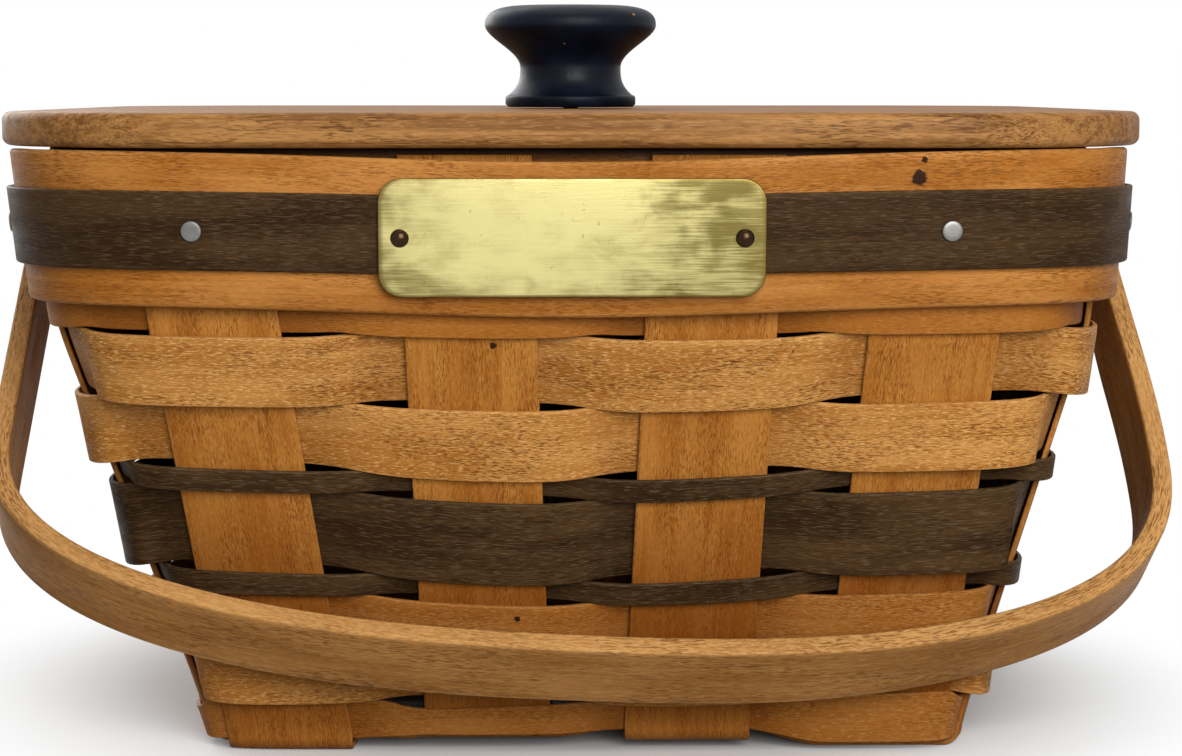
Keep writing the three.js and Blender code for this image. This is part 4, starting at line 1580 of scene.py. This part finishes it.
def shank_and_head(
    length: float, shank: float, radius: float, height: float, base: float, roundness: float = 1.0
) -> Array:
    """Outline of a nail or pin, from its tip to the top of its domed head."""
    stem = np.array([[TIP, -length], [shank, -length + shank], [shank, base], [radius * UNDERCUT, base]])
    return np.concatenate([stem, dome(radius, height, base, roundness)])


def turned(outline: Array, origin: Array, axis: Array, segments: int = 32) -> Surface:
    """Round piece turned about an axis: each point of the outline goes round it in a circle.

    Args:
        outline: Radius and height of each point, from one end of the axis to the other.
        origin: Point of the axis at height 0.
        axis: Direction of the axis.
        segments: Points round each circle.

    Returns:
        Surface: The piece.
    """
    axis = np.asarray(axis, float) / np.linalg.norm(axis)
    helper = np.array([0.0, 0.0, 1.0]) if abs(axis[2]) < STEEP else np.array([1.0, 0.0, 0.0])
    first = np.cross(helper, axis)
    first /= np.linalg.norm(first)
    second = np.cross(axis, first)
    turn = np.arange(segments) / segments * TURN
    circle = np.cos(turn)[:, None] * first + np.sin(turn)[:, None] * second
    radius, height = outline[:, 0, None, None], outline[:, 1, None, None]
    rings = origin + height * axis + radius * circle
    return Surface(rings[:, ::-1])


# Name plate


@dataclass
class NamePlate:
    """The bare brass plate on the front of the strip, and its two round-headed pins."""

    rim: Rim
    width: float = 70.0
    height: float = 21.6
    thickness: float = 0.8
    corner: float = 4.4
    arris: float = 0.3
    crown: float = 0.18
    pin_inset: float = 3.9
    pin_radius: float = 1.7
    pin_height: float = 1.18
    pin_shank: float = 0.7
    weave_face: float = 1.95
    corner_steps: int = 10

    def build(self, brass: bpy.types.Material, bronze: bpy.types.Material) -> None:
        """Builds the plate and its pins.

        Args:
            brass: Metal of the plate.
            bronze: Metal of the pins.
        """
        tilt, clearance = self.rim.tilt(), self.rim.clearance
        angle = -QUARTER
        back, out = self.rim.seat(angle, self.rim.strip_face + clearance, tilt)
        right = np.array([1.0, 0.0, 0.0])
        up = np.cross(out, right)
        outline = rounded_rectangle(self.width / 2, self.height / 2, self.corner, self.corner_steps)
        levels = slab_levels(self.thickness, self.arris)
        rings = slab(outline, levels, crown=self.crown)
        placed = back + rings[..., :1] * right + rings[..., 1:2] * up + rings[..., 2:] * out
        edge = np.where(np.arange(len(rings)) < len(levels), 1.0, 0.0)
        plate = Surface(placed, rim=edge[:, None])
        add_piece("brass_plate", plate, brass, Body.BASKET, Slot.BRASS, "name_plate")
        face = self.rim.strip_face + clearance + self.thickness
        length = (face - self.weave_face - clearance) * math.cos(tilt)
        profile = shank_and_head(length, self.pin_shank, self.pin_radius, self.pin_height, clearance / 2)
        seat, out = self.rim.seat(angle, face, tilt)
        for hand, sign in (("left", -1), ("right", 1)):
            place = seat + right * sign * (self.width / 2 - self.pin_inset)
            pin = turned(profile, place, out)
            add_piece(f"bronze_pin_{hand}", pin, bronze, Body.BASKET, Slot.BRASS, f"plate_pin_{hand}")


def rounded_rectangle(half_width: float, half_height: float, corner: float, steps: int) -> Array:
    """Points and outward normals of a rectangle with quarter-circle corners, anticlockwise.

    Args:
        half_width: Half of its width.
        half_height: Half of its height.
        corner: Radius of its corners.
        steps: Steps round each corner.

    Returns:
        Array: Four numbers a point: its place and its outward normal.
    """
    turn = np.concatenate([np.linspace(0, QUARTER, steps + 1) + quarter * QUARTER for quarter in range(4)])
    quarter = np.repeat(np.arange(4), steps + 1)
    sign_x = np.where((quarter == 0) | (quarter == 3), 1.0, -1.0)
    sign_y = np.where(quarter < 2, 1.0, -1.0)
    normal = np.stack([np.cos(turn), np.sin(turn)], axis=-1)
    centre = np.stack([sign_x * (half_width - corner), sign_y * (half_height - corner)], axis=-1)
    return np.concatenate([centre + corner * normal, normal], axis=-1)


def slab_levels(thickness: float, arris: float, steps: int = 4) -> Array:
    """Inset and height of the rings up the edge of a slab, with both arrises rounded.

    Args:
        thickness: Thickness of the slab.
        arris: Radius of its rounded edges.
        steps: Steps round each edge.

    Returns:
        Array: Inset and height of each ring, from the bottom up.
    """
    turn = np.linspace(0.0, QUARTER, steps + 1)
    inset, rise = arris * (1.0 - np.sin(turn)), arris * (1.0 - np.cos(turn))
    lower = np.stack([inset, rise], axis=-1)
    upper = np.stack([inset[::-1], thickness - rise[::-1]], axis=-1)
    return np.concatenate([lower, upper])


def slab(outline: Array, levels: Array, crown: float = 0.0, rings: int = 8, brink: float = 0.97) -> Array:
    """Rings of a slab: up its edge, then over its top to the middle, which may be crowned.

    Args:
        outline: Points and normals of the slab's outline.
        levels: Inset and height of each ring up the edge.
        crown: How far the middle of the top stands above its edge.
        rings: Rings over the top.
        brink: Share of the outline's size at which an extra ring keeps the edge crisp.

    Returns:
        Array: Rings of points, with the height as the third coordinate.
    """
    place, normal = outline[:, :2], outline[:, 2:]
    edge = place - levels[:, 0, None, None] * normal
    shares = np.concatenate([[brink], np.linspace(1.0, TIP, rings + 1)[1:]])
    top = edge[-1] * shares[:, None, None]
    rise = levels[-1, 1] + crown * (1.0 - shares**2)
    heights = np.concatenate([levels[:, 1], rise])
    flat = np.concatenate([edge, top])
    height = np.broadcast_to(heights[:, None, None], (*flat.shape[:2], 1))
    return np.concatenate([flat, height], axis=-1)[:, ::-1]


# Handle


@dataclass
class Handle:
    """The bent-wood hoop that swings on two rivets, hanging at rest in front of the basket."""

    rim: Rim
    width: float = 15.9
    thickness: float = 3.96
    arris: float = 0.6
    droop: float = 0.719539
    twist: float = 0.059
    pivot: float = 111.85
    reach: float = 125.97
    flare: float = 2.6
    skew: float = 2.6
    arm: float = 74.0
    squareness: float = 2.5
    cant: float = 0.12
    cant_run: float = 45.0
    cant_from: float = 30.0
    cant_to: float = 100.0
    rivet_radius: float = 2.0
    head_radius: float = 5.0
    head_height: float = 2.0
    tail_radius: float = 3.2
    tail_height: float = 1.0
    washer_radius: float = 4.5
    washer_thickness: float = 1.0
    arm_steps: int = 40
    bow_steps: int = 70
    end_steps: int = 14
    rivet_segments: int = 40
    rub_run: float = 0.25
    grain_start: tuple[float, float] = (3300.0, 700.0)

    def line(self) -> Array:
        """Centre line across and along the hoop: a flaring arm, then a superellipse bow, both sides.

        The arm follows a smooth step out to the flare, and the bow |x/a|^n + |s/b|^n = 1.

        Returns:
            Array: Place across the hoop and distance down from the pivots at each point.
        """
        half, bow = self.pivot + self.flare, self.reach - self.thickness / 2 - self.arm
        share = np.arange(self.arm_steps) / self.arm_steps
        arm = np.stack([lerp(self.pivot, half, smooth(share)), self.arm * share], axis=-1)
        turn = np.linspace(0.0, QUARTER, self.bow_steps + 1)
        cosine, sine = np.maximum(np.cos(turn), 0.0), np.sin(turn)
        radius = (cosine**self.squareness + sine**self.squareness) ** (-1.0 / self.squareness)
        quarter = np.stack([half * radius * cosine, self.arm + bow * radius * sine], axis=-1)
        right = np.concatenate([arm, quarter])
        line = np.concatenate([right, right[-2::-1] * [-1.0, 1.0]])
        line[:, 0] += self.skew * smooth(line[:, 1] / self.arm)
        return line

    def world(self, x: Array, y: Array, s: Array, middle: Array) -> Array:
        """Points at rest: the hoop hangs at its droop, and twists so that one arm hangs lower.

        Args:
            x: Places across the hoop.
            y: Places across the strip.
            s: Distances down from the pivots.
            middle: Places of the centre line across the hoop, which set the twist.

        Returns:
            Array: Points in millimetres.
        """
        turn = self.droop + self.twist * np.clip(middle / self.pivot, -1.0, 1.0)
        cosine, sine = np.cos(turn), np.sin(turn)
        back = -y * sine - s * cosine
        height = WALL.trim_height + y * cosine - s * sine
        return np.stack(np.broadcast_arrays(x, back, height), axis=-1)

    def surface(self) -> Surface:
        """The hoop: a rounded strip carried along its centre line, with half-round ends at the pivots.

        The right arm is canted a little: it turns about its outer front edge, away from the pivot.

        Returns:
            Surface: The hoop.
        """
        line = self.line()
        along = np.gradient(line, axis=0)
        along[[0, -1]] = [[0.0, 1.0], [0.0, -1.0]]
        along /= np.linalg.norm(along, axis=-1, keepdims=True)
        out = np.stack([along[:, 1], -along[:, 0]], axis=-1)
        half = self.width / 2
        past = half * np.cos(np.linspace(TIP, QUARTER, self.end_steps, endpoint=False))
        narrow = np.sqrt(1.0 - (past / half) ** 2)
        start = np.stack([np.full(past.size, line[0, 0]), -past], axis=-1)
        end = np.stack([np.full(past.size, line[-1, 0]), -past], axis=-1)[::-1]
        centre = np.concatenate([start, line, end])
        normal = np.concatenate([np.repeat(out[:1], past.size, 0), out, np.repeat(out[-1:], past.size, 0)])
        width = np.concatenate([narrow, np.ones(len(line)), narrow[::-1]])[:, None]
        profile = Profile.strip(self.width, self.thickness, self.arris)
        right = smooth((centre[:, :1] - self.cant_from) / (self.cant_to - self.cant_from))
        cant = self.cant * smooth(centre[:, 1:] / self.cant_run) * right
        across = profile.across * width
        depth = profile.depth * np.cos(cant) + (across - half) * np.sin(cant)
        across = across * np.cos(cant) - profile.depth * np.sin(cant)
        x = centre[:, :1] + normal[:, :1] * depth
        s = centre[:, 1:] + normal[:, 1:] * depth
        rings = self.world(x, across, s, centre[:, :1])
        edge = np.clip(1.0 - (1.0 - np.abs(profile.across) / half) / self.rub_run, 0.0, 1.0)
        around = np.append(profile.run[-2] - profile.run[-2::-1], profile.run[-1])
        return Surface(rings[:, ::-1], around=around, rim=edge[::-1], shift=self.grain_start)

    def build(self, wood: bpy.types.Material, brass: bpy.types.Material) -> None:
        """Builds the hoop, its rivets and their washers.

        Args:
            wood: Wood of the hoop.
            brass: Metal of the rivets and washers.
        """
        add_piece("bent_handle", self.surface(), wood, Body.HANDLE, Slot.HONEY, "handle")
        gap = self.rim.clearance
        face = WALL.half(WALL.trim_height)
        head = self.pivot + self.thickness / 2 + gap - face
        slope = math.tan(self.rim.tilt())
        washer = self.rim.band_face + gap + slope * self.washer_radius + self.washer_thickness
        length = head + washer + gap
        tail = dome(self.tail_radius, self.tail_height, 0.0)[::-1] * [1.0, -1.0] - [0.0, length]
        radius, rim = self.rivet_radius, self.head_radius * UNDERCUT
        stem = np.array([[radius, -length], [radius, 0.0], [rim, 0.0]])
        outline = np.concatenate([tail, stem, dome(self.head_radius, self.head_height, 0.0)])
        bore, edge = self.rivet_radius + gap, self.washer_thickness
        ring = np.array([[bore, 0.0], [self.washer_radius, 0.0], [self.washer_radius, edge], [bore, edge]])
        for hand, angle in (("right", 0.0), ("left", np.pi)):
            seat, out = self.rim.seat(angle, head, 0.0)
            rivet = turned(outline, seat, out, self.rivet_segments)
            add_piece(f"brass_rivet_{hand}", rivet, brass, Body.BASKET, Slot.BRASS, f"handle_rivet_{hand}")
            seat, out = self.rim.seat(angle, -washer, 0.0)
            plain = turned(ring, seat, out, self.rivet_segments)
            plain.hoop = True
            add_piece(f"brass_washer_{hand}", plain, brass, Body.BASKET, Slot.BRASS, f"rivet_burr_{hand}")


# Lid


@dataclass
class Lid:
    """The loose board with its turned knob, the knob's screw and two battens underneath."""

    half: float = 108.95
    corner: float = 40.0
    bottom: float = 118.3
    thickness: float = 6.4
    arris: float = 1.7
    corner_steps: int = 24
    arris_steps: int = 8
    batten_width: float = 16.0
    batten_thickness: float = 8.0
    batten_half: float = 77.05
    batten_place: float = 77.64
    batten_arris: float = 1.0
    clearance: float = 0.3
    knob_foot: float = 14.0
    knob_foot_height: float = 2.5
    knob_neck: float = 10.8
    knob_neck_height: float = 8.3
    knob_hollow: float = 2.8
    knob_cap: float = 18.4
    knob_cap_height: float = 17.5
    knob_swell: float = 1.12
    knob_shoulder: float = 9.3
    knob_roundness: float = 2.6
    knob_height: float = 21.7
    knob_lip: float = 0.6
    knob_steps: int = 24
    knob_segments: int = 72
    knob_top: tuple[float, ...] = (0.7, 0.3)
    screw_radius: float = 1.6
    screw_head: float = 3.5
    screw_head_height: float = 2.2
    screw_bevel: float = 0.6
    screw_bite: float = 12.0

    def knob(self) -> Array:
        """Outline of the knob: a foot, a hollow sweep to the neck, a swelling cap and a rounded top.

        The hollow narrows by a power of the height left to the neck, the swell is a smooth step and the top
        a quarter superellipse.

        Returns:
            Array: Radius and height of each point.
        """
        share, soft = np.linspace(0.0, 1.0, self.knob_steps + 1), self.knob_lip
        turn = share * QUARTER
        shoulder = self.knob_foot - soft * (1.0 - np.cos(turn))
        foot = np.array([[TIP, 0.0], [self.knob_foot - soft, 0.0], [self.knob_foot, soft]])
        lip = np.stack([shoulder, self.knob_foot_height - soft * (1.0 - np.sin(turn))], axis=-1)
        hollow = np.stack([
            lerp(self.knob_neck, self.knob_foot - soft, (1.0 - share) ** self.knob_hollow),
            lerp(self.knob_foot_height, self.knob_neck_height, share),
        ], axis=-1)
        swell = np.stack([
            lerp(self.knob_neck, self.knob_cap, smooth(share**self.knob_swell)),
            lerp(self.knob_neck_height, self.knob_cap_height, share),
        ], axis=-1)
        rise = self.knob_height - self.knob_cap_height
        power = 2.0 / self.knob_roundness
        top = np.stack([
            self.knob_cap - self.knob_shoulder * (1.0 - np.cos(turn) ** power),
            self.knob_cap_height + rise * np.sin(turn) ** power,
        ], axis=-1)
        flat = self.knob_cap - self.knob_shoulder
        over = np.array([[flat * part, self.knob_height] for part in self.knob_top])
        return np.concatenate([foot, lip, hollow[1:], swell[1:], top[1:], over, [[TIP, self.knob_height]]])

    def batten(self, sign: int) -> Surface:
        """A batten across the grain, with its lower ends cut back, as a slab stood on edge.

        Args:
            sign: -1 for the left one, 1 for the right one.

        Returns:
            Surface: The batten.
        """
        half, slope = self.batten_half, self.batten_thickness / 2
        outline = np.array([
            [half, 0.0],
            [-half, 0.0],
            [-half, -slope / 4],
            [-half + slope, -self.batten_thickness],
            [half - slope, -self.batten_thickness],
            [half, -slope / 4],
        ])
        middle = outline.mean(axis=0)
        normal = np.sign(outline - middle)
        levels = slab_levels(self.batten_width, self.batten_arris)
        rings = slab(np.concatenate([outline, normal], axis=-1), levels)
        x = sign * (self.batten_place + self.batten_width / 2) + (rings[..., 2] - self.batten_width / 2)
        z = self.bottom - self.clearance + rings[..., 1]
        return Surface(np.stack([x, rings[..., 0], z], axis=-1))

    def build(self, wood: bpy.types.Material, paint: bpy.types.Material, steel: bpy.types.Material) -> None:
        """Builds the board, the battens, the knob and its screw.

        Args:
            wood: Wood of the board and the battens.
            paint: Paint of the knob.
            steel: Metal of the screw.
        """
        outline = rounded_rectangle(self.half, self.half, self.corner, self.corner_steps)
        levels = slab_levels(self.thickness, self.arris, self.arris_steps)
        rings = slab(outline, levels)
        board = Surface(rings + [0.0, 0.0, self.bottom])
        add_piece("lid_top", board, wood, Body.LID, Slot.LID, "lid_board")
        for hand, sign in (("left", -1), ("right", 1)):
            piece = f"lid_batten_{hand}"
            add_piece(f"wood_{piece}", self.batten(sign), wood, Body.LID, Slot.LID, piece)
        up = np.array([0.0, 0.0, 1.0])
        top = self.bottom + self.thickness + self.clearance
        knob = turned(self.knob(), up * top, up, self.knob_segments)
        add_piece("turned_knob", knob, paint, Body.LID, Slot.NAVY, "lid_knob")
        head, gap, tip = self.screw_head, self.clearance, self.thickness + self.screw_bite
        screw = np.array([
            [TIP, -self.screw_head_height - gap],
            [head - self.screw_bevel, -self.screw_head_height - gap],
            [head, -self.screw_head_height / 2 - gap],
            [head, -gap],
            [self.screw_radius, -gap],
            [self.screw_radius, tip - self.screw_radius],
            [TIP, tip],
        ])
        steel_screw = turned(screw, up * self.bottom, up)
        add_piece("steel_screw", steel_screw, steel, Body.LID, Slot.STEEL, "knob_screw")


# Studio


@dataclass(frozen=True)
class Lamp:
    """A square soft lamp.

    Args:
        name: Name of the lamp.
        place: Where it stands, in metres.
        size: Its width in metres.
        power: Its power in watts.
    """

    name: str
    place: Place
    size: float
    power: float


@dataclass
class Studio:
    """Pale floor, soft light and the camera, which stand outside the object.

    Lengths are in metres, but the camera's place and lens are in millimetres. The floor takes shadows up to
    the distance near, and has faded to white at the distance far.
    """

    floor_half: float = 6.0
    near: float = 0.078
    far: float = 0.15
    floor_shade: Colour = srgb(246, 246, 245)
    bounce_shade: Colour = srgb(128, 124, 118)
    ambient: float = 0.24
    lamps: tuple[Lamp, ...] = (
        Lamp("key", (0.20, -0.85, 0.36), 0.5, 8.1),
        Lamp("sky", (0.0, 0.0, 1.0), 0.7, 2.2),
        Lamp("back", (-0.6, 0.8, 0.5), 0.8, 8.0),
    )
    camera_place: Place = (-2.05, -648.0, 129.2)
    camera_pitch: float = -0.0968
    camera_yaw: float = 0.010
    camera_lens: float = 91.16
    camera_sensor: float = 36.0

    def seen(self, tree: bpy.types.NodeTree) -> Socket:
        """One for a ray from the camera, or from a glossy or clear surface, and nothing for the rest.

        Args:
            tree: Tree of the floor's material or of the world.

        Returns:
            Socket: The larger of the three flags.
        """
        path = add_node(tree, "ShaderNodeLightPath").outputs
        seen = path["Is Camera Ray"]
        for name in ("Is Glossy Ray", "Is Transmission Ray"):
            either = add_node(tree, "ShaderNodeMath", {0: seen, 1: path[name]}, operation="MAXIMUM")
            seen = either.outputs["Value"]
        return seen

    def build_floor(self) -> None:
        """Lays the floor: a pale surface that takes shadows near the object and is white beyond."""
        half = self.floor_half
        mesh = bpy.data.meshes.new("floor")
        corners = [(-half, -half, 0.0), (half, -half, 0.0), (half, half, 0.0), (-half, half, 0.0)]
        mesh.from_pydata(corners, [], [(0, 1, 2, 3)])
        floor = bpy.data.objects.new("floor", mesh)
        bpy.context.scene.collection.objects.link(floor)
        material = bpy.data.materials.new("floor_paper")
        material.use_nodes = True
        tree = material.node_tree
        tree.nodes.clear()
        place = add_node(tree, "ShaderNodeTexCoord").outputs["Object"]
        length = add_node(tree, "ShaderNodeVectorMath", {0: place}, operation="LENGTH")
        feeds = {"Value": length.outputs["Value"], "From Min": self.near, "From Max": self.far}
        fade = add_node(tree, "ShaderNodeMapRange", feeds, interpolation_type="SMOOTHSTEP")
        seen = self.seen(tree)
        share = add_node(tree, "ShaderNodeMath", {0: fade.outputs["Result"], 1: seen}, operation="MULTIPLY")
        feeds = {0: seen, 6: self.bounce_shade, 7: self.floor_shade}
        shade = add_node(tree, "ShaderNodeMix", feeds, data_type="RGBA")
        paper = add_node(tree, "ShaderNodeBsdfDiffuse", {"Color": shade.outputs[2]})
        white = add_node(tree, "ShaderNodeEmission")
        feeds = {0: share.outputs["Value"], 1: paper.outputs["BSDF"], 2: white.outputs["Emission"]}
        mix = add_node(tree, "ShaderNodeMixShader", feeds)
        add_node(tree, "ShaderNodeOutputMaterial", {"Surface": mix.outputs["Shader"]})
        mesh.materials.append(material)

    def build_light(self) -> None:
        """Lights the object with a grey world, seen as white, and the soft lamps."""
        world = bpy.data.worlds.new("studio")
        bpy.context.scene.world = world
        world.use_nodes = True
        tree = world.node_tree
        back = next(node for node in tree.nodes if node.type == "BACKGROUND")
        back.inputs["Color"].default_value = (1.0, 1.0, 1.0, 1.0)
        feeds = {"Value": self.seen(tree), "To Min": self.ambient, "To Max": 1.0}
        strength = add_node(tree, "ShaderNodeMapRange", feeds)
        feed(tree, back.inputs["Strength"], strength.outputs["Result"])
        for lamp in self.lamps:
            self.hang(lamp)

    def hang(self, lamp: Lamp) -> None:
        """Hangs a lamp so that it faces the middle of the object.

        Args:
            lamp: The lamp.
        """
        light = bpy.data.lights.new(lamp.name, "AREA")
        light.size = lamp.size
        light.energy = lamp.power
        hung = bpy.data.objects.new(lamp.name, light)
        bpy.context.scene.collection.objects.link(hung)
        hung.location = lamp.place
        middle = (np.array(CAD_BOX[0]) + np.array(CAD_BOX[1])) / 2
        across, level, rise = np.array(lamp.place) - middle
        hung.rotation_euler = (math.atan2(math.hypot(across, level), rise), 0.0, math.atan2(across, -level))

    def build_camera(self) -> None:
        """Sets the camera where the photograph was taken."""
        data = bpy.data.cameras.new("camera")
        data.sensor_width = self.camera_sensor
        data.lens = self.camera_lens
        camera = bpy.data.objects.new("camera", data)
        bpy.context.scene.collection.objects.link(camera)
        camera.location = [value * MM for value in self.camera_place]
        camera.rotation_euler = (QUARTER + self.camera_pitch, 0.0, -self.camera_yaw)
        bpy.context.scene.camera = camera

    def build(self) -> None:
        """Builds the studio."""
        bpy.context.scene.view_settings.view_transform = "Standard"
        self.build_floor()
        self.build_light()
        self.build_camera()


def main() -> None:
    """Builds the studio and every piece of the basket."""
    logging.basicConfig(level=logging.INFO, format="%(message)s")
    Studio().build()
    honey, amber, band = HONEY.material(), AMBER.material(), BAND.material()
    walnut, brass, steel = WALNUT.material(), BRASS.material(), STEEL.material()
    uprights = Uprights()
    uprights.build(amber)
    Weaving(uprights).build(honey, walnut)
    rim = Rim(uprights)
    rim.build(band, walnut, steel)
    NamePlate(rim).build(brass, BRONZE.material())
    Handle(rim).build(BENT.material(), brass)
    Lid().build(BOARD.material(), NAVY.material(), steel)


if __name__ == "__main__":
    main()
